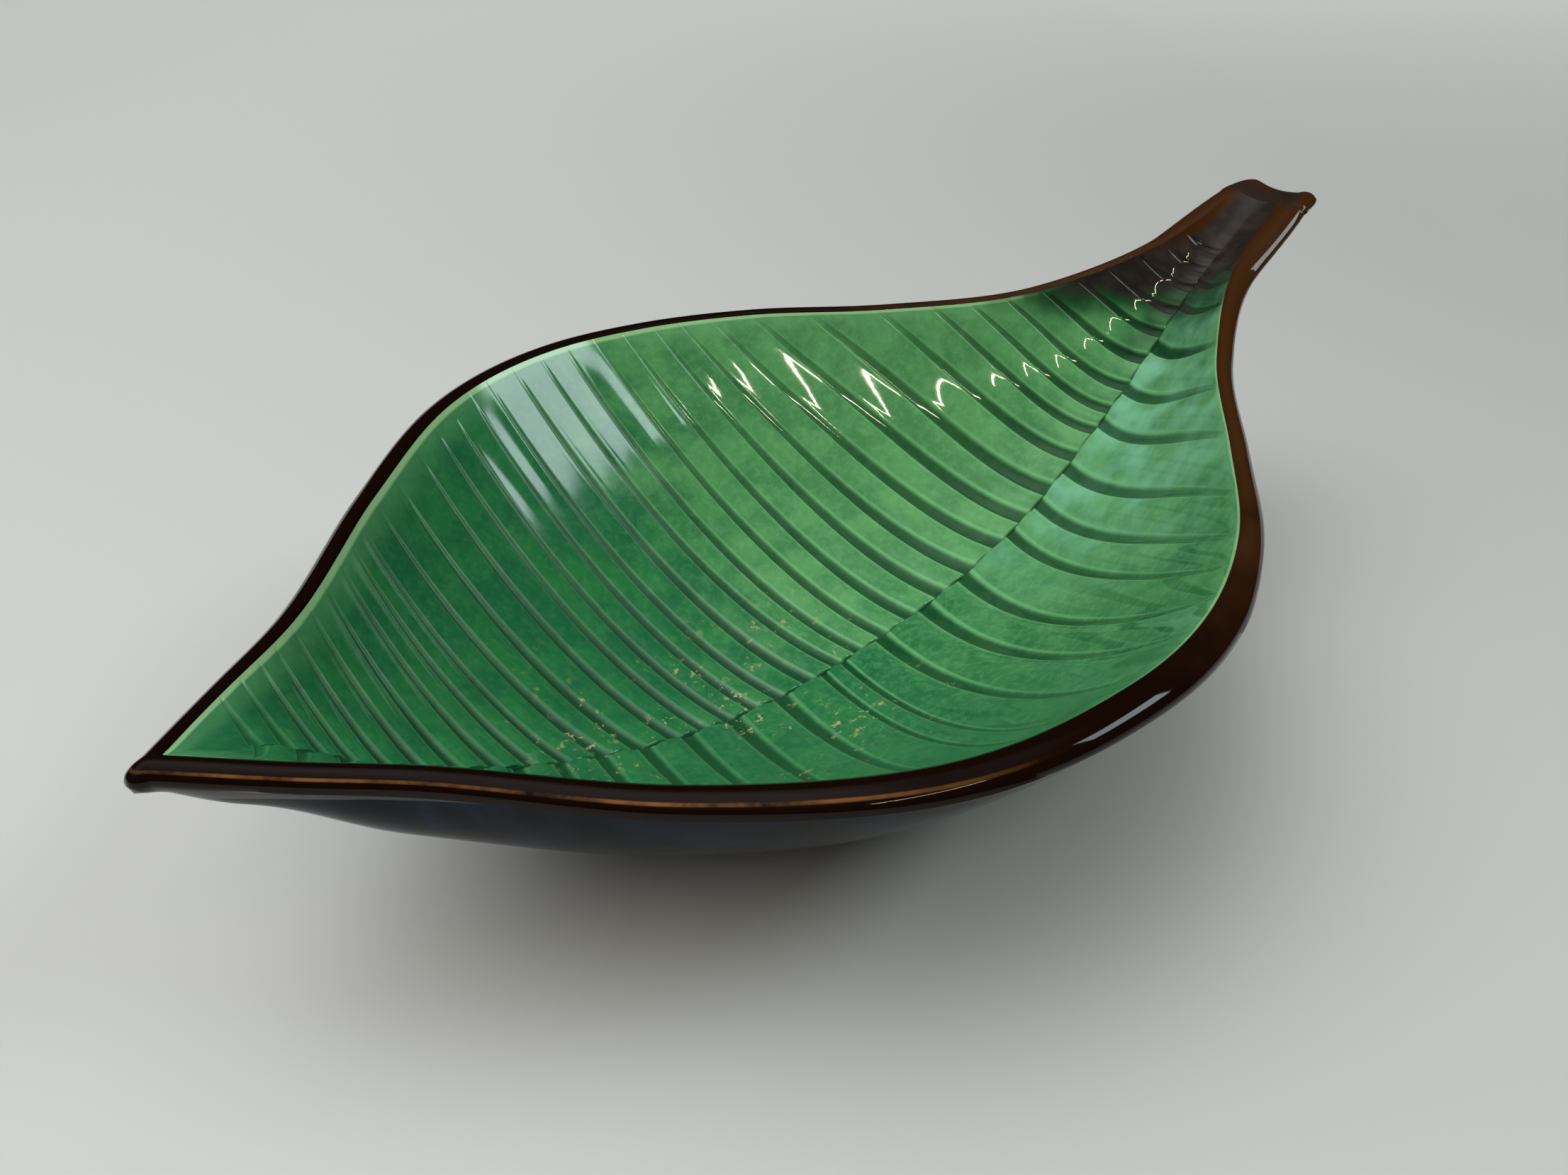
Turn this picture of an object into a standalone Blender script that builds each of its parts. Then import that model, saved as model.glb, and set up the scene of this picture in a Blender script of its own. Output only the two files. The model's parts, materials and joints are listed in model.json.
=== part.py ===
"""Leaf dish: a stoneware serving dish in the shape of one long leaf, tip at -X and stem at +X.

One clay body is cast with the veins in its inside, and its glaze coats lie on it as thin shells.
Metres, +Z up. The origin is on the table, under the middle of the dish's length and width.
"""
import bpy
import bmesh
import numpy as np

# Overall sizes
DISH_LENGTH = 0.305        # over the glaze, from the nose at the tip to the end of the stem
BOWL_WIDTH = 0.1765        # between the rims' inner edges at the widest place
STEM_WIDTH = 0.0150        # between the rims' inner edges at the end of the stem's trough
TIP_HEIGHT = 0.0625        # inner edge of the rim above the table, at the tip
STEM_HEIGHT = 0.0935       # inner edge of the rim above the table, at the stem's end
FLOOR_HEIGHT = 0.0100      # lowest place inside, above the table

# Clay
RIM_WIDTH = 0.0046         # clay rim, inner edge to outer edge, where the bowl is widest
RIM_ROUNDING = 0.0046      # height that the shares of the rim's section follow
NOSE_LENGTH = 0.0044       # clay rim beyond the leaf's inner tip
NOSE_DEPTH = 0.0034        # clay under the nose, below the rim's inner edge
STEM_LIP = 0.0100          # clay lip beyond the end of the trough
STEM_LIP_RISE = 0.0020     # how far that lip goes on rising
WALL = 0.0064              # clay wall under the spine
NOSE_BLEND = 0.0128        # length behind the nose over which the wall reaches that
RIM_BLEND = 0.0128         # width over which the rim's outer edge runs into the underside
FOOT_LENGTH = 0.0960       # oval foot ring, outside
FOOT_WIDTH = 0.0500
FOOT_RING = 0.0050         # width of the face it stands on

# Veins, pressed into the inside as grooves with flat lands between them
GROOVE_DEPTH = 0.0012
SPINE_STEP = 0.0007        # half the width of the step between the two halves, on the midrib
EDGE_BAND = 0.0018         # plain band inside the rim

# Glaze
GLAZE = 0.0006
GAP = 0.0003               # between the clay and a coat
SEAM = 0.0006              # between two coats, along the surface
RIM_GLAZE_DEPTH = 0.0045   # how far the brown glaze runs down the outside
BARE_FOOT = 0.0015         # height of bare clay at the foot

COAT = GAP + GLAZE
LEAF_LENGTH = DISH_LENGTH - NOSE_LENGTH - STEM_LIP - 2 * COAT
TIP_X = NOSE_LENGTH + COAT - DISH_LENGTH / 2

# Shapes as shares: (share of the leaf's length from its tip, share of the size it follows)
BOWL_WIDTH_SHARES = ((0, 0), (0.05, 0.142), (0.10, 0.279), (0.20, 0.634), (0.30, 0.902), (0.42, 1.0),
                     (0.51, 0.964), (0.61, 0.819), (0.71, 0.575), (0.81, 0.287), (0.91, 0.054), (1.0, 0))
STEM_WIDTH_SHARES = ((0, 0), (0.60, 0), (0.80, 0.35), (0.91, 0.94), (1.0, 1.0))
RIM_RISE_SHARES = ((0, 0), (0.10, -0.058), (0.20, -0.029), (0.30, 0.075), (0.40, 0.145), (0.50, 0.150),
                   (0.60, 0.155), (0.70, 0.165), (0.80, 0.295), (0.90, 0.630), (1.0, 1.0))
SPINE_RISE_SHARES = ((0, 1.0), (0.05, 0.905), (0.10, 0.680), (0.20, 0.320), (0.30, 0.100), (0.41, 0),
                     (0.51, 0.020), (0.61, 0.103), (0.71, 0.285), (0.81, 0.590), (0.91, 0.860), (1.0, 0.985))
RIM_WIDTH_SHARES = ((0, 0.60), (0.12, 0.66), (0.25, 0.86), (0.40, 1.0), (0.52, 0.95), (0.62, 0.74),
                    (0.72, 0.60), (0.80, 0.54), (0.88, 0.66), (0.94, 1.05), (1.0, 0.95))
BOWL_POWER_SHARE = 1.91     # power of the inside's section, from the midrib to the rim; then the underside's
UNDER_POWER_SHARES = ((0, 3.0), (0.08, 2.8), (0.15, 2.3), (0.22, 2.15), (0.35, 2.15), (1.0, 2.15))

# Rim section: (share of the rim's width outwards from the inner edge, share of its rounding upwards)
RIM_SECTION_SHARES = ((0, 0), (0.12, 0.055), (0.48, 0.070), (0.80, -0.040), (1.0, -0.340))

# Vein paths: shares of the leaf's length where a vein leaves the midrib and where it meets the rim, and
# the share of the way between them that it bends late
FRONT_VEIN_SHARES = ((0, 0, 0.50), (0.10, 0.075, 0.50), (0.20, 0.155, 0.50), (0.30, 0.235, 0.55),
                     (0.38, 0.295, 0.60), (0.47, 0.368, 0.60), (0.534, 0.443, 0.55), (0.633, 0.534, 0.38),
                     (0.692, 0.570, 0.40), (0.727, 0.605, 0.45), (0.762, 0.654, 0.55), (0.804, 0.722, 0.45),
                     (0.834, 0.776, 0.50), (0.868, 0.825, 0.50), (0.920, 0.895, 0.50), (1.0, 1.0, 0))
BACK_VEIN_SHARES = ((0, 0, 0.30), (0.09, 0.080, 0.30), (0.154, 0.132, 0.20), (0.205, 0.165, 0.10),
                    (0.26, 0.200, 0.10), (0.347, 0.280, 0.10), (0.422, 0.347, 0.12), (0.484, 0.402, 0.15),
                    (0.537, 0.458, 0.35), (0.606, 0.515, 0.40), (0.678, 0.567, 0.45), (0.709, 0.600, 0.55),
                    (0.740, 0.645, 0.60), (0.772, 0.697, 0.55), (0.796, 0.736, 0.50), (0.835, 0.788, 0.50),
                    (0.878, 0.842, 0.50), (0.930, 0.912, 0.40), (1.0, 1.0, 0))
FRONT_GROOVE_SHARES = (0.048, 0.068, 0.090, 0.114, 0.140, 0.167, 0.195, 0.225, 0.258, 0.294, 0.332, 0.376,
                       0.424, 0.469, 0.491, 0.534, 0.586, 0.633, 0.692, 0.727, 0.762, 0.804, 0.834, 0.868,
                       0.900, 0.921, 0.942)
BACK_GROOVE_SHARES = (0.046, 0.062, 0.078, 0.093, 0.111, 0.131, 0.154, 0.180, 0.205, 0.229, 0.259, 0.289,
                      0.320, 0.347, 0.371, 0.397, 0.422, 0.454, 0.484, 0.509, 0.537, 0.569, 0.606, 0.641,
                      0.677, 0.709, 0.740, 0.772, 0.796, 0.815, 0.835, 0.857, 0.878, 0.896, 0.915, 0.932,
                      0.949)
GROOVE_PITCH_SHARE = 0.40   # a groove's width at the midrib, of the smaller pitch beside it
GROOVE_TAPER_SHARE = 0.60   # how much of its width a groove loses on its way to the rim
GROOVE_SECTION_SHARES = ((-1.0, 0), (0, 1.0), (1.0, 0))
GROOVE_REACH_SHARES = ((0, 1.0), (0.35, 0.85), (0.75, 0.45), (1.0, 0))
LAND_ENDS_SHARES = (0.025, 0.985)   # where the veined field starts and stops on the midrib
LINE_SHARES = (0, 0.16, 0.33, 0.51, 0.69, 0.85, 1.0)
FOOT_CENTRE_SHARE = 0.44            # middle of the foot ring along the leaf

# Outside: rings of the underside as shares of the way from the rim to the foot
FALL_SHARES = (0.30, 0.52, 0.76, 1.0)
RIM_SHOULDER_SHARE = 0.45   # one more ring, as a share of the brown glaze's depth
LEAST_SQUARE_SHARE = 0.06   # the seam is widened by up to this where the lines to the foot run aslant
MERGE_SHARE = 0.01          # of the gap: points closer than this are one

# Counts
SIDE_STEPS = 28             # along each side of the rim
NOSE_STEPS = 6              # round half the nose
CORNER_STEPS = 3            # round each corner of the stem's end
END_STEPS = 3               # across half the stem's end
REACH_ROUNDS = 4            # rounds of setting the veins' ends at their distance from the rim


def smooth(shares, at):
    """Value of a smooth curve (cubic Hermite) through the hand-chosen points of a table."""
    table = np.array(shares, float)
    stations, values = table[:, 0], table[:, 1:]
    slopes = np.gradient(values, stations, axis=0)
    at = np.clip(np.asarray(at, float), stations[0], stations[-1])
    cell = np.clip(np.searchsorted(stations, at, side="right") - 1, 0, len(stations) - 2)
    span = stations[cell + 1] - stations[cell]
    t = ((at - stations[cell]) / span)[..., None]
    span = span[..., None]
    rise = 3 * t ** 2 - 2 * t ** 3
    lead = (t - 2 * t ** 2 + t ** 3) * slopes[cell] * span
    trail = (t ** 3 - t ** 2) * slopes[cell + 1] * span
    curve = values[cell] * (1 - rise) + values[cell + 1] * rise + lead + trail
    return curve[..., 0] if values.shape[1] == 1 else curve


def leaf_share(x):
    return (x - TIP_X) / LEAF_LENGTH


def half_width(share):
    bowl = smooth(BOWL_WIDTH_SHARES, share) * BOWL_WIDTH / 2
    return bowl + smooth(STEM_WIDTH_SHARES, share) * STEM_WIDTH / 2


def rim_height(share):
    return TIP_HEIGHT + smooth(RIM_RISE_SHARES, share) * (STEM_HEIGHT - TIP_HEIGHT)


def spine_height(share):
    return FLOOR_HEIGHT + smooth(SPINE_RISE_SHARES, share) * (rim_height(share) - FLOOR_HEIGHT)


def inside_height(share, y):
    """The inside rises from the midrib to the rim as a power of the way across."""
    across = np.abs(y) / np.maximum(half_width(share), SPINE_STEP)
    spine = spine_height(share)
    return spine + (rim_height(share) - spine) * np.minimum(across, 1.0) ** BOWL_POWER_SHARE


def vein_share(veins, start, way):
    """Where a vein has come to along the leaf, at a share of its way from the midrib to the rim."""
    path = smooth(veins, start)
    landing, bend = path[..., 0], path[..., 1]
    return start - (start - landing) * ((1 - bend) * way + bend * way ** 2)


def vein_lines(grooves):
    """Start, offset and depth share of each mesh line: the field's two ends and each groove's section."""
    centres = np.array(grooves)
    pitches = np.diff(np.r_[LAND_ENDS_SHARES[0], centres, LAND_ENDS_SHARES[1]])
    halves = np.minimum(pitches[:-1], pitches[1:]) * GROOVE_PITCH_SHARE / 2
    section = np.array(GROOVE_SECTION_SHARES)
    starts = np.repeat(centres, len(section))
    offsets = np.outer(halves, section[:, 0]).ravel()
    depths = np.tile(section[:, 1], len(centres))
    starts = np.r_[LAND_ENDS_SHARES[0], starts, LAND_ENDS_SHARES[1]]
    return starts, np.r_[0, offsets, 0], np.r_[0, depths, 0]


def inside_half(side, veins, grooves):
    """One half of the veined inside: points [line, step from the midrib to the rim's edge band]."""
    starts, offsets, depths = vein_lines(grooves)
    steps = np.array(LINE_SHARES)
    lines = starts[:, None] + offsets[:, None] * (1 - GROOVE_TAPER_SHARE * steps)
    way = np.ones(len(lines))
    for _ in range(REACH_ROUNDS):
        reach = half_width(vein_share(veins, lines[:, -1], way)) - EDGE_BAND
        way = reach / (reach + EDGE_BAND)
    y = SPINE_STEP + (reach[:, None] - SPINE_STEP) * steps
    share = vein_share(veins, lines, y / (reach[:, None] + EDGE_BAND))
    depth = GROOVE_DEPTH * depths[:, None] * smooth(GROOVE_REACH_SHARES, steps)
    z = inside_height(share, y) - depth
    return np.stack([TIP_X + share * LEAF_LENGTH, side * y, z], -1)


def turn(vector, angle):
    return np.array([vector[0] * np.cos(angle) - vector[1] * np.sin(angle),
                     vector[0] * np.sin(angle) + vector[1] * np.cos(angle)])


def side_outline():
    """The rim's inner edge along the front, tip to stem: plan points and outward normals."""
    even = np.linspace(0, 1, SIDE_STEPS + 1)
    share = (even + (1 - np.cos(np.pi * even)) / 2) / 2
    points = np.stack([TIP_X + share * LEAF_LENGTH, -half_width(share)], -1)
    along = np.gradient(points, axis=0)
    along /= np.linalg.norm(along, axis=1, keepdims=True)
    return points, np.stack([along[:, 1], -along[:, 0]], -1), share


def rim_loop():
    """The whole inner edge, anticlockwise from the middle of the nose, with a fan of rows at each corner.

    Returns plan points, steps to the rim's outer edge, inward directions (mitred where the edge turns),
    leaf shares and how far the rim rises on its way outwards.
    """
    points, normals, share = side_outline()
    widths = RIM_WIDTH * smooth(RIM_WIDTH_SHARES, share)
    backwards = np.array([-1.0, 0])
    forwards = np.array([1.0, 0])
    frontwards = np.array([0, -1.0])
    rows = []
    tip_turn = np.arccos(normals[0] @ backwards)
    for k in range(NOSE_STEPS + 1):
        angle = tip_turn * k / NOSE_STEPS
        stretch = np.cos(angle * np.pi / 2 / tip_turn) ** 2
        width = widths[0] + (NOSE_LENGTH - widths[0]) * stretch
        rows.append((points[0], width * turn(backwards, angle), backwards / np.cos(tip_turn), 0, 0))
    for point, normal, at, width in zip(points[1:-1], normals[1:-1], share[1:-1], widths[1:-1]):
        rows.append((point, width * normal, normal, at, 0))
    corner = points[-1]
    for k in range(CORNER_STEPS + 1):
        angle = np.pi / 2 * k / CORNER_STEPS
        outwards = STEM_LIP * np.sin(angle) * forwards + widths[-1] * np.cos(angle) * frontwards
        rows.append((corner, outwards, frontwards + forwards, 1.0, STEM_LIP_RISE * np.sin(angle)))
    for k in range(1, END_STEPS + 1):
        point = corner * np.array([1, 1 - k / END_STEPS])
        rows.append((point, STEM_LIP * forwards, forwards, 1.0, STEM_LIP_RISE))
    front = [tuple(np.asarray(value, float) for value in row) for row in rows]
    flip = np.array([1, -1])
    back = [(point * flip, outwards * flip, inward * flip, at, rise)
            for point, outwards, inward, at, rise in front[-2:0:-1]]
    return [np.array(column) for column in zip(*(front + back))]


def unit(vectors):
    return vectors / np.linalg.norm(vectors, axis=1, keepdims=True)


def ring(plan, height):
    return np.column_stack([plan, np.broadcast_to(height, len(plan))])


def underside(plan, edge):
    """Height of the clay's underside: a bowl under the outer edge, a wall's thickness below the spine."""
    x, y = plan[..., 0], np.abs(plan[..., 1])
    share = leaf_share(x)
    front = edge[:, 1] <= 0
    order = np.argsort(edge[front, 0])
    outer_x, outer_y = edge[front, 0][order], -edge[front, 1][order]
    near_nose = np.interp(x, outer_x, outer_y)
    along_stem = half_width(share) + RIM_WIDTH * smooth(RIM_WIDTH_SHARES, share)
    width = np.where(share < LAND_ENDS_SHARES[0], near_nose, along_stem)
    rim = rim_height(share) + RIM_SECTION_SHARES[-1][1] * RIM_ROUNDING
    step = LAND_ENDS_SHARES[0]
    slope = (spine_height(share + step) - spine_height(share - step)) / (2 * step * LEAF_LENGTH)
    blend = np.clip((x - outer_x[0]) / NOSE_BLEND, 0, 1)
    blend = blend ** 2 * (3 - 2 * blend)
    drop = WALL * np.sqrt(1 + slope ** 2) * blend + NOSE_DEPTH * (1 - blend)
    spine = spine_height(share) - drop
    across = np.minimum(y / np.maximum(width, SPINE_STEP), 1.0)
    return spine + (rim - spine) * across ** smooth(UNDER_POWER_SHARES, share)


def foot_angles(edge):
    """Where each line of the underside meets the foot ring: its direction seen from the ring's middle."""
    centre = TIP_X + LEAF_LENGTH * FOOT_CENTRE_SHARE
    return np.arctan2(edge[:, 1] * FOOT_LENGTH / FOOT_WIDTH, edge[:, 0] - centre)


def body_rings():
    """Rings of the clay from the inside's edge over the rim, down the outside and into the foot's well."""
    plan, outwards, inward, share, rise = rim_loop()
    height = rim_height(share)
    height = np.where(share >= 1.0, inside_height(share, plan[:, 1]), height)
    rings = {}
    inner = plan - inward * SEAM
    rings["lining_edge"] = ring(inner, inside_height(leaf_share(inner[:, 0]), inner[:, 1]))
    for k, (out, up) in enumerate(RIM_SECTION_SHARES):
        rings[f"rim_{k}"] = ring(plan + outwards * out, height + RIM_ROUNDING * up + rise * out)
    edge = rings[f"rim_{len(RIM_SECTION_SHARES) - 1}"]
    angle = foot_angles(edge)
    centre = np.array([TIP_X + LEAF_LENGTH * FOOT_CENTRE_SHARE, 0])
    oval = np.stack([np.cos(angle) * FOOT_LENGTH / 2, np.sin(angle) * FOOT_WIDTH / 2], -1)
    inner_oval = oval * np.array([1 - 2 * FOOT_RING / FOOT_LENGTH, 1 - 2 * FOOT_RING / FOOT_WIDTH])
    foot, well = centre + oval, centre + inner_oval
    start = edge[:, :2]
    lift = edge[:, 2] - underside(start, edge)
    ahead = np.roll(start, -1, axis=0) - start
    normal = unit(np.column_stack([ahead[:, 1], -ahead[:, 0]]))
    reach = np.linalg.norm(start - foot, axis=1)
    beside = [np.sum((start - foot) * np.roll(normal, k, axis=0), axis=1) / reach for k in (0, 1)]
    seam = SEAM / np.maximum(np.minimum(*beside), LEAST_SQUARE_SHARE)
    depths = [RIM_GLAZE_DEPTH * RIM_SHOULDER_SHARE, RIM_GLAZE_DEPTH, RIM_GLAZE_DEPTH + seam]
    falls = [depth / reach for depth in depths] + [np.full(len(reach), fall) for fall in FALL_SHARES]
    for k, fall in enumerate(falls):
        plan_k = start + (foot - start) * fall[:, None]
        fade = np.clip(1 - fall * reach / RIM_BLEND, 0, 1) ** 2
        rings[f"fall_{k}"] = ring(plan_k, underside(plan_k, edge) + lift * fade)
    rings["foot_glaze_end"] = ring(foot, BARE_FOOT)
    rings["foot_outer"] = ring(foot, 0)
    rings["foot_inner"] = ring(well, 0)
    rings["well_glaze_end"] = ring(well, BARE_FOOT)
    rings["well_top"] = ring(well, underside(well, edge))
    half = centre + inner_oval / 2
    rings["well_middle"] = ring(half, underside(half, edge))
    middle = np.broadcast_to(centre, half.shape)
    rings["well_centre"] = ring(middle, underside(middle, edge))
    return rings


class Shell:
    """Points and faces of one surface, gathered from grids of rings and zipped seams."""

    def __init__(self):
        self.points = np.zeros((0, 3))
        self.faces = []

    def add(self, points):
        first = len(self.points)
        self.points = np.vstack([self.points, points])
        return np.arange(first, first + len(points))

    def quads(self, one, two):
        """A strip of quads from one row of points to the next, facing away from the clay."""
        for a, b, c, d in zip(one[:-1], two[:-1], two[1:], one[1:]):
            self.faces.append((a, b, c, d))

    def rings(self, rows):
        for one, two in zip(rows[:-1], rows[1:]):
            self.quads(np.r_[one, one[0]], np.r_[two, two[0]])

    def zip(self, one, two):
        """A strip of triangles between rows of unlike counts, each step taking the shorter new edge."""
        here, there = self.points[one], self.points[two]
        i = j = 0
        while i < len(one) - 1 or j < len(two) - 1:
            ahead = np.linalg.norm(here[min(i + 1, len(one) - 1)] - there[j])
            across = np.linalg.norm(there[min(j + 1, len(two) - 1)] - here[i])
            if j == len(two) - 1 or (i < len(one) - 1 and ahead < across):
                self.faces.append((one[i], two[j], one[i + 1]))
                i += 1
            else:
                self.faces.append((one[i], two[j], two[j + 1]))
                j += 1

    def field(self, front, back, edge):
        """The veined inside: two halves, the step along the midrib and the seam up to the rim's loop."""
        front, back = (np.array([self.add(line) for line in half]) for half in (front, back))
        for one, two in zip(front.T[:-1], front.T[1:]):
            self.quads(one, two)
        for one, two in zip(back.T[:-1], back.T[1:]):
            self.quads(two, one)
        self.zip(back[:, 0], front[:, 0])
        side = self.points[edge[NOSE_STEPS:NOSE_STEPS + SIDE_STEPS], 0]
        tip = NOSE_STEPS + int(np.argmin(np.abs(side - self.points[front[0, -1], 0])))
        corner = NOSE_STEPS + SIDE_STEPS + CORNER_STEPS // 2
        count = len(edge)
        self.zip(front[:, -1], edge[tip:corner + 1])
        self.zip(np.r_[front[-1, ::-1], back[-1]], edge[corner:count - corner + 1])
        self.zip(back[::-1, -1], edge[count - corner:count - tip + 1])
        self.zip(np.r_[back[0, ::-1], front[0]], np.r_[edge[count - tip:], edge[:tip + 1]])

    def mesh(self, name):
        """A mesh with its doubled points merged and the faces that this empties taken out."""
        mesh = bpy.data.meshes.new(name)
        mesh.from_pydata(self.points.tolist(), [], self.faces)
        work = bmesh.new()
        work.from_mesh(mesh)
        bmesh.ops.remove_doubles(work, verts=work.verts, dist=GAP * MERGE_SHARE)
        bmesh.ops.dissolve_degenerate(work, edges=work.edges, dist=GAP * MERGE_SHARE)
        bmesh.ops.triangulate(work, faces=work.faces)
        work.to_mesh(mesh)
        work.free()
        return mesh


# Finishes: linear red, green and blue, roughness
FINISHES = {
    "bare_clay": ((0.52, 0.42, 0.32), 0.85),
    "green_glaze": ((0.070, 0.290, 0.105), 0.12),
    "brown_glaze": ((0.060, 0.022, 0.010), 0.12),
    "blue_black_glaze": ((0.006, 0.010, 0.018), 0.12),
}


def finish(name):
    colour, roughness = FINISHES[name]
    material = bpy.data.materials.new(name)
    material.use_nodes = True
    shader = material.node_tree.nodes["Principled BSDF"]
    shader.inputs["Base Color"].default_value = (*colour, 1)
    shader.inputs["Roughness"].default_value = roughness
    shader.inputs["Metallic"].default_value = 0
    return material


def dish_object(shell, name, material, collection):
    piece = bpy.data.objects.new(name, shell.mesh(name))
    piece.data.materials.append(finish(material))
    piece.data.shade_smooth()
    collection.objects.link(piece)
    return piece


def coat(piece):
    """Lift an open surface off the clay by the gap and give it the glaze's thickness."""
    lift = piece.modifiers.new("gap", "DISPLACE")
    lift.direction = "NORMAL"
    lift.mid_level = 0
    lift.strength = GAP
    glaze = piece.modifiers.new("glaze", "SOLIDIFY")
    glaze.thickness = GLAZE
    glaze.offset = 1
    return piece


def veined_shell(rings, names):
    """The veined inside with the rings that continue it, outwards from the seam."""
    shell = Shell()
    rows = [shell.add(rings[name]) for name in names]
    front = inside_half(-1, FRONT_VEIN_SHARES, FRONT_GROOVE_SHARES)
    back = inside_half(1, BACK_VEIN_SHARES, BACK_GROOVE_SHARES)
    shell.field(front, back, rows[0])
    shell.rings(rows)
    return shell


def ring_shell(rings, names):
    shell = Shell()
    shell.rings([shell.add(rings[name]) for name in names])
    return shell


def build():
    for old in list(bpy.data.objects):
        bpy.data.objects.remove(old)
    dish = bpy.data.collections.new("leaf_dish")
    bpy.context.scene.collection.children.link(dish)
    rings = body_rings()
    names = list(rings)
    dish_object(veined_shell(rings, names), "clay_body", "bare_clay", dish)
    brown_end = names.index("fall_1") + 1
    foot_end = names.index("foot_glaze_end") + 1
    well_start = names.index("well_glaze_end")
    lining = veined_shell(rings, names[:1])
    coat(dish_object(lining, "leaf_glaze", "green_glaze", dish))
    coat(dish_object(ring_shell(rings, names[1:brown_end]), "rim_glaze", "brown_glaze", dish))
    coat(dish_object(ring_shell(rings, names[brown_end:foot_end]), "outer_glaze", "blue_black_glaze", dish))
    coat(dish_object(ring_shell(rings, names[well_start:]), "well_glaze", "blue_black_glaze", dish))


build()
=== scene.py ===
"""Leaf dish: the glazed surfaces of a stoneware serving dish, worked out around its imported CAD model.

The dish is one long leaf, with its tip at -X, its stem at +X and its foot on z = 0. Its shape follows tables
of shares along the leaf, from the tip (0) to the end of the stem's trough (1).
"""
import json
import math

import bmesh
import bpy
import numpy as np
from mathutils import Matrix, Vector

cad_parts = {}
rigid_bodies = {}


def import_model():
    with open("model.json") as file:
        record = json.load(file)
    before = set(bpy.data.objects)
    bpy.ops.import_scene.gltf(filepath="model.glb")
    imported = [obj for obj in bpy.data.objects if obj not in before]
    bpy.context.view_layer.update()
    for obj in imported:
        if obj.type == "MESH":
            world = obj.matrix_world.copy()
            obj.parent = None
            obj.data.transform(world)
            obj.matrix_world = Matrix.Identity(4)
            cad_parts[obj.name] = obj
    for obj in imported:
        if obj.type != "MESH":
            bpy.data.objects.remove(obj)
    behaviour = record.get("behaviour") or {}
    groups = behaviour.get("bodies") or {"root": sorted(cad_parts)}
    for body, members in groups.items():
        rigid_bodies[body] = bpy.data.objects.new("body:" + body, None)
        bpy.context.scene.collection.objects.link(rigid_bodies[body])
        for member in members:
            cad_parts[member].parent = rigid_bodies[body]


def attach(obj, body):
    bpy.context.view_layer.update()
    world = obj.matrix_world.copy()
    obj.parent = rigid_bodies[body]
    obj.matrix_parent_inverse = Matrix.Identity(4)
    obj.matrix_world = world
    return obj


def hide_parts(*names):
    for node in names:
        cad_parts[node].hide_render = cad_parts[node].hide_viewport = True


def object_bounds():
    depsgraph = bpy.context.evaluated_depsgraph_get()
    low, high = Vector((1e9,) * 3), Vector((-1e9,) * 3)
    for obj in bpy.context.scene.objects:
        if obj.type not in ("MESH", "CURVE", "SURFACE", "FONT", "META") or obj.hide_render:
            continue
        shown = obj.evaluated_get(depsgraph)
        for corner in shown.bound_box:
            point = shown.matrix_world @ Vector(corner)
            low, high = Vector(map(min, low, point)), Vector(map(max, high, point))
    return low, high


bl_info = {
    "name": "Leaf Dish",
    "version": (1, 0, 0),
    "blender": (4, 5, 0),
    "location": "View3D > Sidebar > Leaf Dish",
    "description": "Builds a leaf-shaped stoneware dish with its glazes around a CAD frame",
    "category": "Add Mesh",
}

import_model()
CAD_LOW, CAD_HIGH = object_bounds()
BODY = "root"

# Shapes as shares: (share of the leaf's length from its tip, share of the size it follows)
BOWL_WIDTH_SHARES = ((0, 0), (0.05, 0.142), (0.10, 0.279), (0.20, 0.634), (0.30, 0.902), (0.42, 1.0),
                     (0.51, 0.964), (0.61, 0.819), (0.71, 0.575), (0.81, 0.287), (0.91, 0.054), (1.0, 0))
STEM_WIDTH_SHARES = ((0, 0), (0.60, 0), (0.80, 0.35), (0.91, 0.94), (1.0, 1.0))
RIM_RISE_SHARES = ((0, 0), (0.10, -0.058), (0.20, -0.029), (0.30, 0.075), (0.40, 0.145), (0.50, 0.150),
                   (0.60, 0.155), (0.70, 0.165), (0.80, 0.295), (0.90, 0.630), (1.0, 1.0))
SPINE_RISE_SHARES = ((0, 1.0), (0.05, 0.905), (0.10, 0.680), (0.20, 0.320), (0.30, 0.100), (0.41, 0),
                     (0.51, 0.020), (0.61, 0.103), (0.71, 0.285), (0.81, 0.590), (0.91, 0.860), (1.0, 0.985))
RIM_WIDTH_SHARES = ((0, 0.60), (0.12, 0.66), (0.25, 0.86), (0.40, 1.0), (0.52, 0.95), (0.62, 0.74),
                    (0.72, 0.60), (0.80, 0.54), (0.88, 0.66), (0.94, 1.05), (1.0, 0.95))
RIM_SECTION_SHARES = ((0, 0), (0.12, 0.055), (0.36, 0.065), (0.54, 0.005), (0.86, -0.185), (1.0, -0.340))
BOWL_POWER_SHARE = 1.91
UNDER_POWER_SHARES = ((0, 3.0), (0.08, 2.8), (0.15, 2.3), (0.22, 2.15), (0.35, 2.15), (1.0, 2.15))

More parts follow.
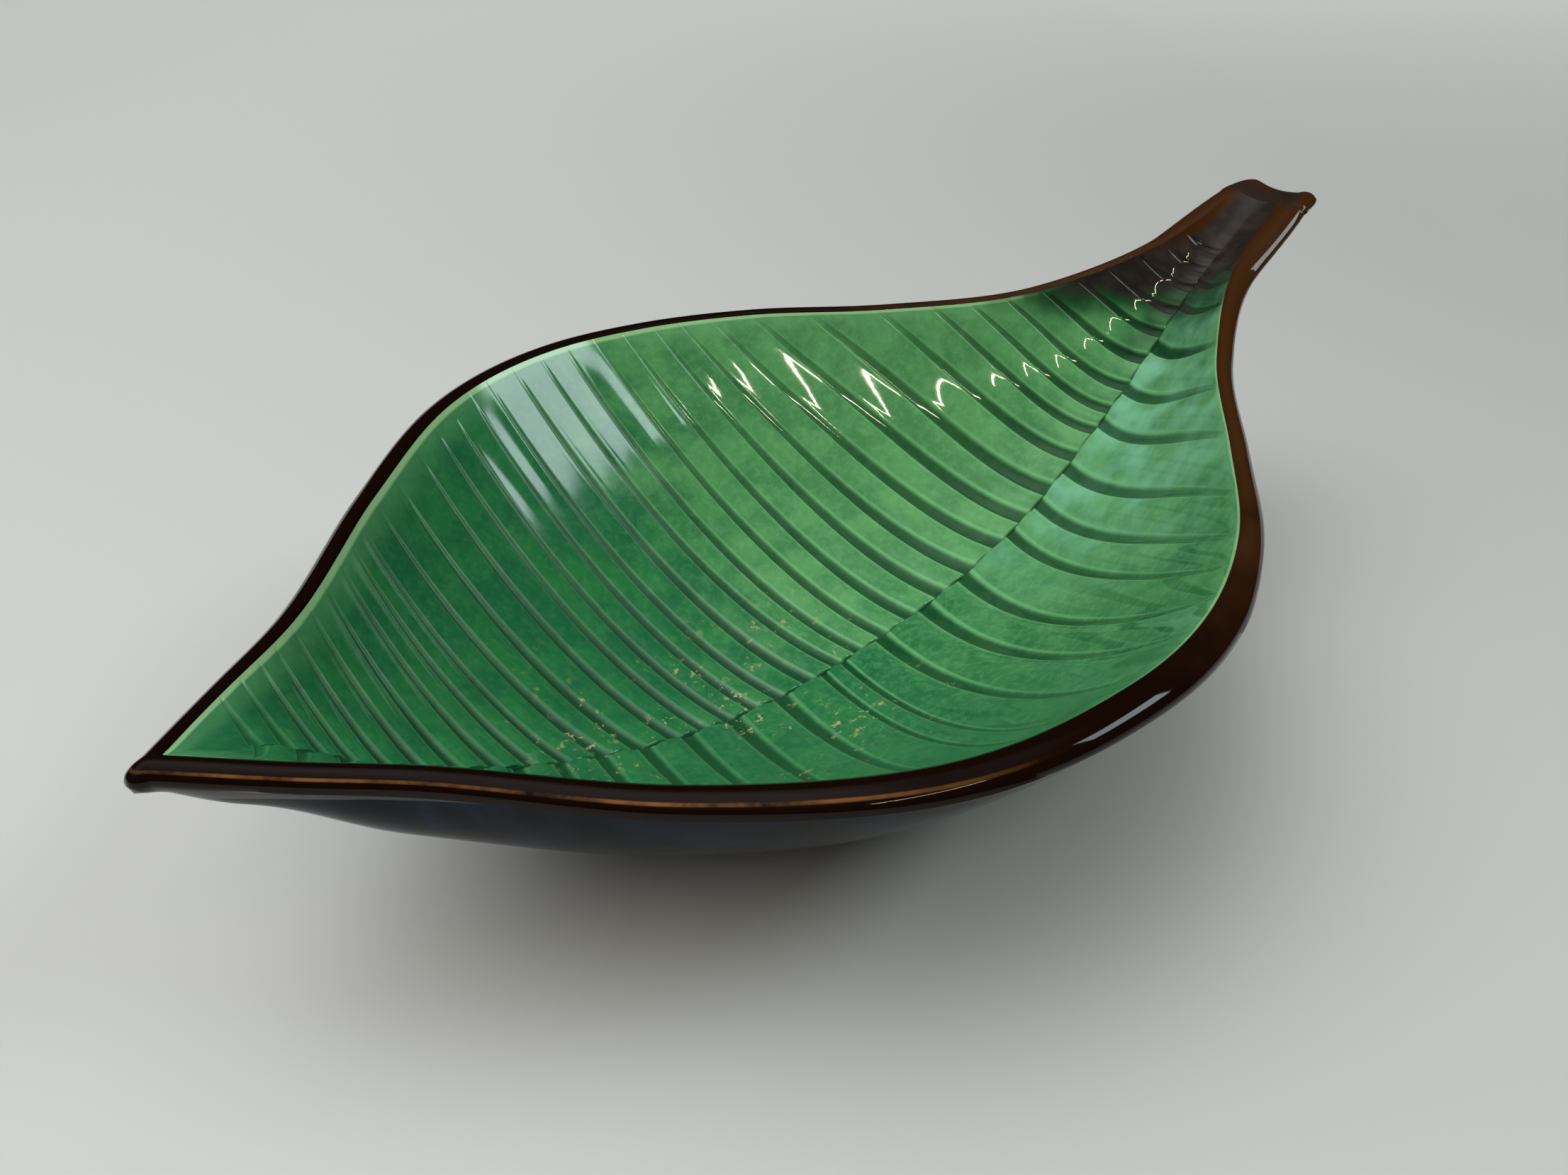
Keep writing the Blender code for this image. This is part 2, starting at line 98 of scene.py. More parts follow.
# Veins: (where one leaves the midrib, where it meets the rim, how late it bends on its way)
FRONT_VEIN_SHARES = ((0, 0, 0.50), (0.10, 0.075, 0.50), (0.20, 0.155, 0.50), (0.30, 0.235, 0.55),
                     (0.38, 0.295, 0.60), (0.47, 0.368, 0.60), (0.534, 0.443, 0.55), (0.633, 0.534, 0.38),
                     (0.692, 0.570, 0.40), (0.727, 0.605, 0.45), (0.762, 0.654, 0.55), (0.804, 0.722, 0.45),
                     (0.834, 0.776, 0.50), (0.868, 0.825, 0.50), (0.920, 0.895, 0.50), (1.0, 1.0, 0))
BACK_VEIN_SHARES = ((0, 0, 0.30), (0.09, 0.080, 0.30), (0.154, 0.132, 0.20), (0.205, 0.165, 0.10),
                    (0.26, 0.200, 0.10), (0.347, 0.280, 0.10), (0.422, 0.347, 0.12), (0.484, 0.402, 0.15),
                    (0.537, 0.458, 0.35), (0.606, 0.515, 0.40), (0.678, 0.567, 0.45), (0.709, 0.600, 0.55),
                    (0.740, 0.645, 0.60), (0.772, 0.697, 0.55), (0.796, 0.736, 0.50), (0.835, 0.788, 0.50),
                    (0.878, 0.842, 0.50), (0.930, 0.912, 0.40), (1.0, 1.0, 0))
FRONT_GROOVE_SHARES = (0.048, 0.068, 0.090, 0.114, 0.140, 0.167, 0.195, 0.225, 0.258, 0.294, 0.332, 0.376,
                       0.424, 0.469, 0.491, 0.534, 0.586, 0.633, 0.692, 0.727, 0.762, 0.804, 0.834, 0.868,
                       0.900, 0.921, 0.942)
BACK_GROOVE_SHARES = (0.046, 0.062, 0.078, 0.093, 0.111, 0.131, 0.154, 0.180, 0.205, 0.229, 0.259, 0.289,
                      0.320, 0.347, 0.371, 0.397, 0.422, 0.454, 0.484, 0.509, 0.537, 0.569, 0.606, 0.641,
                      0.677, 0.709, 0.740, 0.772, 0.796, 0.815, 0.835, 0.857, 0.878, 0.896, 0.915, 0.932,
                      0.949)
# Each half's grooves: (a groove's width at the midrib, of the smaller pitch beside it; how far a land
# falls to its edges, of the grooves' depth)
FRONT_LAND_SHARES = (0.34, 0.50)
BACK_LAND_SHARES = (0.42, 0.26)
GROOVE_TAPER_SHARE = 0.66    # how much of that width it loses on its way to the rim
# A groove's section: (place across it in half widths, share of its depth, share of thin glaze on its edge)
GROOVE_SECTION_SHARES = ((-1.50, 0, 0), (-1.25, -0.02, 0.3), (-1.08, 0.0, 0.6), (-0.98, 0.14, 0.4),
                         (-0.90, 0.46, 0), (-0.82, 0.82, 0), (-0.70, 0.99, 0), (-0.45, 1.0, 0),
                         (-0.10, 0.98, 0), (0.25, 0.93, 0), (0.50, 0.80, 0), (0.72, 0.50, 0.1),
                         (0.94, 0.14, 0.7), (1.16, -0.02, 1.0), (1.50, 0, 0))
# How much of its depth a groove has left on its way from the midrib to the rim
GROOVE_REACH_SHARES = ((0, 1.0), (0.30, 0.92), (0.60, 0.70), (0.82, 0.50), (0.93, 0.30), (0.985, 0),
                       (1.0, 0))
LAND_TILT_SHARE = 0.09       # how much one edge of a land lies lower than the other, at most
LAND_TILT_TURN = 2.4         # radians that the tilt's sine turns from land to land
LAND_END_SHARE = 0.16        # how far a back land falls where it ends on the midrib, of the grooves' depth
LAND_END_STRETCH_SHARES = (0.50, 0.70)   # where along the leaf such an end first shows, and is full
CREASE_SHARES = (0, 0.12, 0.28, 0.46, 0.70, 1.0)   # steps across half of the crease on the midrib
CREASE_DEPTH_SHARE = 0.30    # of the grooves' depth
CREASE_NARROW_SHARE = 0.35   # the crease's half width, at most, of the way from the midrib to the rim
CREASE_TIP_SHARES = (0.14, 0.30)    # where the crease starts beyond the tip, and is full
CREASE_STEM_SHARES = (0.96, 0.91)   # the same before the stem's end
NARROW_SHARE = 0.14          # of the bowl's width: a half that is narrower has a shallower relief
SHALLOW_SHARE = 0.25         # the least of its depth that the relief keeps there
LAND_LINES = 7
HALF_STEPS = 46
INSIDE_STEP_SHARE = 0.004    # step along the leaf for the inside's slopes
SPINE_STEP_SHARE = 0.025     # the same for the slope of the wall under the midrib

# Outside
NOSE_STRETCH_SHARES = (0.015, 0.080)   # where the underside leaves the nose's outline, and is clear of it
FOOT_CENTRE_SHARE = 0.44
# A bevel under the foot: (share of its width that a row lies in, share of its height)
BEVEL_SHARES = ((0, 1), (0.3, 0.3), (1, 0))
SPINE_SHARES = (0.03, 0.97)   # stretch of the midrib that the clay's inside is gathered to
SIDE_STEPS = 200              # along one side of the rim
NOSE_STEPS = 10               # round half of the nose
CORNER_STEPS = 8              # round a corner of the stem's end
END_STEPS = 8                 # across half of that end
SHOULDER_STEPS = 4            # round the rim's inner edge
SECTION_STEPS = 20            # across the rim
BROWN_STEPS = 5               # from the rim's outer edge to the end of its brown glaze
FALL_STEPS = 46               # from there to the foot
FOOT_STEPS = 6                # down the foot, and up inside it
WELL_STEPS = 14               # from the foot's inside to the middle of the well
LINING_STEPS = 29             # across the clay's inside, from the midrib to the rim
TURNED_ROWS = 2               # last rows of the rim whose normals come from the grid alone
ROUNDING_ROWS = 3             # on each side of a corner
ROUNDING_PASSES = 5
MERGE = 1e-6                  # points that are closer become one
LEAST_WIDTH = 1e-4            # keeps a division clear of zero at the leaf's two ends
LEAST_LENGTH = 1e-12
SHARP_ANGLE = math.radians(62)
MM = 0.001

# Patterns: (about how wide a feature is in millimetres, detail, roughness)
HUES = (18, 4.0, 0.6)            # deep and light green
COOL_CLOUDS = (12, 4.0, 0.6)     # blue-green
SHEEN_CLOUDS = (10, 3.0, 0.5)            # painted sheen: clouds of reflected light near the stem
MOTTLE = (2.0, 4.0, 0.7)         # pale mottle of a copper glaze
SPECKS = (2.4, 4.0, 0.7)         # of rust
SPECK_CLUSTERS = (14, 2.0, 0.5)
TROUGH_END = (8, 3.0, 0.5)       # uneven end of the trough's dark glaze
RIPPLES = (4, 3.0, 0.5)          # in that glaze
REDNESS = (12, 2.0, 0.5)         # of the brown
BREAKS = (9, 4.0, 0.6)           # in the amber edge
RUNS = (10, 3.0, 0.5)            # down the outside
WAVES = (24, 1.0, 0.5)           # slow waves in a fired coat
ORANGE_PEEL = (4.5, 1.0, 0.5)    # on them, drawn coarse enough to show
GRIT = (0.8, 3.0, 0.5)           # in bare clay, drawn coarse enough to show
RIPPLE_STRETCH = (1, 0.35, 1)    # longer across the trough
RUN_STRETCH = (1, 1, 0.2)        # longer downwards
PEEL_SHARE = 0.03                # of the waves' height
WAVE_HEIGHT = 0.6 * MM
WAVE_STRENGTH = 0.22
GRIT_HEIGHT = 0.2 * MM
GRIT_STRENGTH = 0.4
GRIT_SHADE_SHARE = 0.6           # of the clay's colour
GLAZE_IOR = 1.50


def linear(code):
    """A CSS hex colour as linear red, green and blue."""
    values = (int(code[k:k + 2], 16) / 255 for k in (0, 2, 4))
    return tuple(v / 12.92 if v <= 0.04045 else ((v + 0.055) / 1.055) ** 2.4 for v in values)


def colour_property(name, description, code):
    """A colour that can be changed, with a hex code as its default."""
    return bpy.props.FloatVectorProperty(name=name, description=description, subtype="COLOR", size=3,
                                         min=0, max=1, default=linear(code))


def length_property(name, description, default):
    """A length that can be changed, in metres."""
    return bpy.props.FloatProperty(name=name, description=description, subtype="DISTANCE", unit="LENGTH",
                                   min=0, precision=4, default=default)


class LeafDishSizes(bpy.types.PropertyGroup):
    """The dish's sizes"""
    length: length_property("Length", "Over the glaze, nose to stem", CAD_HIGH.x - CAD_LOW.x)
    bowl_width: length_property("Bowl width", "Between the rims' inner edges", 0.1760)
    stem_width: length_property("Stem width", "Between the rims' inner edges at the stem's end", 0.0150)
    tip_height: length_property("Tip height", "Rim's inner edge above the table at the tip", 0.0625)
    stem_height: length_property("Stem height", "Rim's inner edge above the table at the stem's end", 0.0933)
    floor_height: length_property("Floor height", "Lowest place of the clay inside", 0.0100)
    rim_width: length_property("Rim width", "Clay rim where the bowl is widest", 0.0046)
    rim_rounding: length_property("Rim rounding", "Height that the rim's section follows", 0.0046)
    nose_length: length_property("Nose length", "Clay beyond the leaf's inner tip", 0.0044)
    nose_depth: length_property("Nose depth", "Clay under the nose", 0.0034)
    stem_lip: length_property("Stem lip", "Clay beyond the end of the trough", 0.0100)
    stem_lip_rise: length_property("Stem lip rise", "How far that lip goes on rising", 0.0020)
    wall: length_property("Wall", "Clay under the midrib", 0.0064)
    nose_blend: length_property("Nose blend", "Length over which the wall reaches that", 0.0128)
    rim_blend: length_property("Rim blend", "Width over which the rim runs into the underside", 0.0128)
    foot_length: length_property("Foot length", "Oval foot ring, outside", 0.0960)
    foot_width: length_property("Foot width", "Oval foot ring, outside", 0.0500)
    foot_ring: length_property("Foot ring", "Width of the face it stands on", 0.0050)
    foot_bevel: length_property("Foot bevel", "Rounding of the foot's lower edges", 0.0007)
    bare_foot: length_property("Bare foot", "Height of unglazed clay at the foot", 0.0015)
    glaze: length_property("Glaze", "Thickness of a coat", 0.0006)
    gap: length_property("Gap", "Between the clay and a coat", 0.0003)
    brown_depth: length_property("Brown depth", "How far the rim's glaze runs down outside", 0.0018)
    groove_depth: length_property("Groove depth", "Depth of the veins", 0.0012)
    crease: length_property("Crease", "Half the width of the crease on the midrib", 0.0005)
    land_end: length_property("Land end", "Length over which a back land rounds down to the midrib", 0.0030)


class LeafDishColours(bpy.types.PropertyGroup):
    """The colours of its glazes, its clay and the table"""
    # Lighter green near the stem and on the back half, deeper near the tip and on the front: partly the
    # glaze's own tone, partly painted light and painted shade
    leaf: colour_property("Leaf green", "Glaze on the lands near the stem", "579057")
    leaf_deep_and_shaded: colour_property("Deep green", "Glaze on the lands near the tip", "25693B")
    leaf_cool: colour_property("Blue green", "Clouds where the glaze is thicker", "165538")
    leaf_pool: colour_property("Pooled green", "Glaze in the grooves", "0D3A1C")
    leaf_thin: colour_property("Thin green", "Glaze on the edges of the lands", "74B27A")
    # Painted sheen: pale blue-green clouds that stand for light reflected on the front half near the stem
    leaf_sheen: colour_property("Frosted green", "Milky clouds on the front half near the stem", "78B697")
    leaf_edge: colour_property("Pale edge", "Green glaze drawn thin beside the rim", "A0C992")
    fleck: colour_property("Rust fleck", "Iron that broke through the green", "B4A272")
    stem: colour_property("Stem shade", "Dark glaze in the stem's trough", "26201C")
    stem_light: colour_property("Stem ripples", "Paler ripples across the stem's trough", "4C433B")
    rim: colour_property("Rim brown", "Glaze on the rim", "120703")
    rim_thin: colour_property("Thin brown", "Rim glaze where it runs thin", "39210F")
    # Amber edge: partly the glaze breaking, partly a painted highlight along the rim's outer shoulder
    rim_edge_and_highlight: colour_property("Amber edge", "Rim glaze where it breaks on its outer edge", "8A5A2E")
    outside: colour_property("Blue black", "Glaze on the outside", "050D16")
    outside_run: colour_property("Blue run", "Soft runs in the outside glaze", "152C42")
    clay: colour_property("Clay", "Bare fired stoneware", "B89C7E")
    table: colour_property("Table", "Pale floor", "CCCCC8")


def smooth(shares, at):
    """Cubic Hermite curve through a table's points, with slopes from each point's two neighbours."""
    table = np.array(shares, float)
    stations, values = table[:, 0], table[:, 1:]
    slopes = np.gradient(values, stations, axis=0)
    at = np.clip(np.asarray(at, float), stations[0], stations[-1])
    cell = np.clip(np.searchsorted(stations, at, side="right") - 1, 0, len(stations) - 2)
    span = stations[cell + 1] - stations[cell]
    t = ((at - stations[cell]) / span)[..., None]
    span = span[..., None]
    rise = 3 * t ** 2 - 2 * t ** 3
    lead = (t - 2 * t ** 2 + t ** 3) * slopes[cell] * span
    trail = (t ** 3 - t ** 2) * slopes[cell + 1] * span
    curve = values[cell] * (1 - rise) + values[cell + 1] * rise + lead + trail
    return curve[..., 0] if values.shape[1] == 1 else curve


def rising(value, start, full):
    """A straight rise from 0 at start to 1 at full, level beyond both."""
    return np.clip((value - start) / (full - start), 0, 1)


def unit(vectors):
    """Each vector divided by its length."""
    return vectors / np.maximum(np.linalg.norm(vectors, axis=-1, keepdims=True), LEAST_LENGTH)


class Leaf:
    """The dish's base surfaces, which are the clay's: inside, rim and underside, in metres."""

    def __init__(self, sizes):
        self.s = sizes
        self.coat = sizes.gap + sizes.glaze
        self.length = sizes.length - sizes.nose_length - sizes.stem_lip - 2 * self.coat
        self.tip = CAD_LOW.x + self.coat + sizes.nose_length

    def share(self, x):
        """How far x lies along the leaf's inside."""
        return (x - self.tip) / self.length

    def x(self, share):
        """The place along X of a share."""
        return self.tip + share * self.length

    def half_width(self, share):
        """Half of the bowl's width and half of the stem's, each by its table, added."""
        bowl = smooth(BOWL_WIDTH_SHARES, share) * self.s.bowl_width / 2
        return bowl + smooth(STEM_WIDTH_SHARES, share) * self.s.stem_width / 2

    def rim_height(self, share):
        """The tip's height, and the table's share of the rise from there to the stem's."""
        return self.s.tip_height + smooth(RIM_RISE_SHARES, share) * (self.s.stem_height - self.s.tip_height)

    def spine_height(self, share):
        """The floor's height, and the table's share of the rise from there to the rim's."""
        rise = smooth(SPINE_RISE_SHARES, share)
        return self.s.floor_height + rise * (self.rim_height(share) - self.s.floor_height)

    def inside_height(self, share, y):
        """z = spine + (rim - spine) * (|y| / half width) ** power: a bowl section at each station."""
        across = np.minimum(np.abs(y) / np.maximum(self.half_width(share), LEAST_WIDTH), 1.0)
        spine = self.spine_height(share)
        return spine + (self.rim_height(share) - spine) * across ** BOWL_POWER_SHARE

    def inside_normal(self, share, y):
        """Upward normal of the inside, from the slopes of its height along x and y."""
        step = INSIDE_STEP_SHARE
        share = np.clip(share, step, 1 - step)
        width = np.maximum(self.half_width(share), LEAST_WIDTH)
        across = np.minimum(np.abs(y) / width, 1.0)
        power = across ** BOWL_POWER_SHARE
        rise = self.rim_height(share) - self.spine_height(share)
        along = 2 * step * self.length
        rim_slope = (self.rim_height(share + step) - self.rim_height(share - step)) / along
        spine_slope = (self.spine_height(share + step) - self.spine_height(share - step)) / along
        width_slope = (self.half_width(share + step) - self.half_width(share - step)) / along
        slope_x = spine_slope * (1 - power) + rim_slope * power
        slope_x = slope_x - rise * BOWL_POWER_SHARE * power * width_slope / width
        slope_y = np.sign(y) * rise * BOWL_POWER_SHARE * across ** (BOWL_POWER_SHARE - 1) / width
        return unit(np.stack([-slope_x, -slope_y, np.ones_like(slope_x)], -1))

    def underside(self, plan, edge):
        """z = spine + (rim - spine) * (|y| / half width) ** power, a wall's thickness below the inside."""
        s = self.s
        x, y = plan[..., 0], np.abs(plan[..., 1])
        share = self.share(x)
        front = edge[:, 1] <= 0
        order = np.argsort(edge[front, 0])
        outer_x, outer_y = edge[front, 0][order], -edge[front, 1][order]
        along_stem = self.half_width(share) + s.rim_width * smooth(RIM_WIDTH_SHARES, share)
        past_nose = rising(share, *NOSE_STRETCH_SHARES)
        width = np.interp(x, outer_x, outer_y) * (1 - past_nose) + along_stem * past_nose
        rim = self.rim_height(share) + RIM_SECTION_SHARES[-1][1] * s.rim_rounding
        step = SPINE_STEP_SHARE
        climb = self.spine_height(share + step) - self.spine_height(share - step)
        slope = climb / (2 * step * self.length)
        blend = np.clip((x - outer_x[0]) / s.nose_blend, 0, 1)
        blend = blend ** 2 * (3 - 2 * blend)
        drop = s.wall * np.sqrt(1 + slope ** 2) * blend + s.nose_depth * (1 - blend)
        spine = self.spine_height(share) - drop
        across = np.minimum(y / np.maximum(width, s.crease), 1.0)
        return spine + (rim - spine) * across ** smooth(UNDER_POWER_SHARES, share)


def vein_share(veins, start, way):
    """A vein's place along the leaf: it starts at the midrib, lands at the rim and bends as way squared."""
    path = smooth(veins, start)
    landing, bend = path[..., 0], path[..., 1]
    return start - (start - landing) * ((1 - bend) * way + bend * way ** 2)


def vein_lines(grooves, land_shares):
    """Mesh lines across the veins: a few on each land and the groove's section between two lands.

    Returns, for each line, where its groove starts, its place across the groove and its shares of the depth,
    of pooled glaze and of thin glaze. A land's lines are spread evenly between the sections beside it. The
    land falls by its crown to both edges, as the square of the way there, and by its tilt from one edge to
    the other. The tilt swings as a sine from land to land.
    """
    pitch_share, crown_share = land_shares
    ends = np.r_[0.0, grooves, 1.0]
    pitches = np.diff(ends)
    halves = np.r_[0, np.minimum(pitches[:-1], pitches[1:]) * pitch_share / 2, 0]
    section = np.array(GROOVE_SECTION_SHARES)
    land = np.linspace(0, 1, LAND_LINES + 2)[1:-1]
    land_starts = ends[:-1, None] * (1 - land) + ends[1:, None] * land
    land_offsets = section[-1, 0] * (halves[:-1, None] * (1 - land) - halves[1:, None] * land)
    tilt = LAND_TILT_SHARE * np.sin(LAND_TILT_TURN * np.arange(len(pitches)))[:, None]
    land_depths = crown_share * (2 * land - 1) ** 2 + tilt * (2 * land - 1)
    low = crown_share + tilt[:-1]
    high = crown_share - tilt[1:]
    across = (section[:, 0] / section[-1, 0] + 1) / 2
    rest = low * (1 - across) + high * across
    groove_depths = rest + (1 - rest) * section[:, 1]
    starts = np.hstack([land_starts[:-1], np.repeat(ends[1:-1, None], len(section), 1)])
    offsets = np.hstack([land_offsets[:-1], halves[1:-1, None] * section[:, 0]])
    depths = np.hstack([land_depths[:-1], groove_depths])
    pools = np.tile(np.r_[np.zeros(LAND_LINES), section[:, 1]], len(starts))
    thins = np.tile(np.r_[np.zeros(LAND_LINES), section[:, 2]], len(starts))
    blank = np.zeros(LAND_LINES)
    return (np.r_[0, starts.ravel(), land_starts[-1], 1],
            np.r_[0, offsets.ravel(), land_offsets[-1], 0],
            np.r_[0, depths.ravel(), land_depths[-1], 0],
            np.r_[0, pools, blank, 0],
            np.r_[0, thins, blank, 0])


def leaf_half(leaf, side, veins, grooves, land_shares):
    """Half of the veined inside as a grid [line, step from the midrib to the rim].

    A point lies on the inside's bowl, moved out along its normal by the coat and in by the relief: the
    section's depth faded along the vein, a fine crease where the two halves meet on the midrib and, on the
    back half, the rounded end of each land there. Returns the coat's face, its back and its marks.
    """
    s = leaf.s
    starts, offsets, depths, pools, thins = vein_lines(grooves, land_shares)
    landing = vein_share(veins, starts + offsets * (1 - GROOVE_TAPER_SHARE), np.ones(len(starts)))
    reach = np.maximum(leaf.half_width(landing), MERGE)
    crease_half = np.minimum(s.crease, reach * CREASE_NARROW_SHARE)
    near = crease_half[:, None] * np.array(CREASE_SHARES)
    spread = np.linspace(0, 1, HALF_STEPS + 1)[1:]
    y = np.hstack([near, near[:, -1:] + (reach[:, None] - near[:, -1:]) * spread])
    way = y / reach[:, None]
    share = vein_share(veins, starts[:, None] + offsets[:, None] * (1 - GROOVE_TAPER_SHARE * way), way)
    fine = np.clip(reach / (s.bowl_width * NARROW_SHARE), SHALLOW_SHARE, 1)[:, None]
    remaining = smooth(GROOVE_REACH_SHARES, way)
    faded = remaining * fine
    crease = np.clip(1 - y / crease_half[:, None], 0, 1) ** 2
    crease = crease * rising(share, *CREASE_TIP_SHARES) * rising(share, *CREASE_STEM_SHARES)
    ending = np.clip(1 - y / s.land_end, 0, 1) ** 2 * rising(share, *LAND_END_STRETCH_SHARES) * (side > 0)
    relief = depths[:, None] * faded + (CREASE_DEPTH_SHARE * crease + LAND_END_SHARE * ending) * fine
    base = np.stack([leaf.x(share), side * y, leaf.inside_height(share, y)], -1)
    normal = leaf.inside_normal(share, side * y)
    top = base + normal * (leaf.coat - s.groove_depth * np.minimum(relief, 1))[..., None]
    under = base + normal * (leaf.coat - s.groove_depth - s.glaze)
    marks = {"pool": pools[:, None] * faded, "thin": thins[:, None] * remaining, "crease": crease,
             "border": reach[:, None] - y, "share": share, "side": np.full_like(share, side)}
    return top, under, marks


def rim_loop(leaf):
    """The rim's inner edge, anticlockwise from the middle of the nose, as whole arrays.

    A side column stands square to the edge. Round the nose the columns fan out on an arc, round each corner
    of the stem's end on a quarter ellipse. The back half mirrors the front.
    Returns plan points, vectors to the outer edge, leaf shares and how far the rim rises on its way out.
    """
    s = leaf.s
    even = np.linspace(0, 1, SIDE_STEPS + 1)
    share = (even + (1 - np.cos(np.pi * even)) / 2) / 2
    points = np.stack([leaf.x(share), -leaf.half_width(share)], -1)
    along = unit(np.gradient(points, axis=0))
    normals = np.stack([along[:, 1], -along[:, 0]], -1)
    widths = s.rim_width * smooth(RIM_WIDTH_SHARES, share)

    tip_turn = math.acos(-normals[0, 0])
    angle = tip_turn * np.linspace(0, 1, NOSE_STEPS + 1)
    reach = widths[0] + (s.nose_length - widths[0]) * np.cos(angle * np.pi / 2 / tip_turn) ** 2
    nose = reach[:, None] * np.stack([-np.cos(angle), -np.sin(angle)], -1)

    corner = points[-1]
    angle = np.pi / 2 * np.linspace(0, 1, CORNER_STEPS + 1)
    turn = np.stack([s.stem_lip * np.sin(angle), -widths[-1] * np.cos(angle)], -1)
    end = corner * np.stack([np.ones(END_STEPS), 1 - np.arange(1, END_STEPS + 1) / END_STEPS], -1)

    plan = np.vstack([np.tile(points[0], (NOSE_STEPS + 1, 1)), points[1:-1],
                      np.tile(corner, (CORNER_STEPS + 1, 1)), end])
    outwards = np.vstack([nose, widths[1:-1, None] * normals[1:-1], turn,
                          np.tile([s.stem_lip, 0.0], (END_STEPS, 1))])
    shares = np.r_[np.zeros(NOSE_STEPS + 1), share[1:-1], np.ones(CORNER_STEPS + 1 + END_STEPS)]
    rise = s.stem_lip_rise * np.r_[np.zeros(NOSE_STEPS + SIDE_STEPS), np.sin(angle), np.ones(END_STEPS)]
    flip = np.array([1, -1])
    return (np.vstack([plan, plan[-2:0:-1] * flip]), np.vstack([outwards, outwards[-2:0:-1] * flip]),
            np.r_[shares, shares[-2:0:-1]], np.r_[rise, rise[-2:0:-1]])


def round_corner(rows, corner):
    """Averages the rows near a corner with their neighbours, pass after pass, which rounds it."""
    rows = rows.copy()
    first, last = corner - ROUNDING_ROWS, corner + ROUNDING_ROWS
    for _ in range(ROUNDING_PASSES):
        rows[first:last] = (rows[first - 1:last - 1] + 2 * rows[first:last] + rows[first + 1:last + 1]) / 4
    return rows


def bevel_rows(ring, centre, bevel, height):
    """Rows round a bevel below a ring of plan points, from the ring's side to its flat face.

    Each row is drawn in towards the centre by its share of the bevel, and stands at its share of the height.
    """
    return [np.column_stack([centre + (ring - centre) * (1 - inset * bevel),
                             np.full(len(ring), rise * height)]) for inset, rise in BEVEL_SHARES]


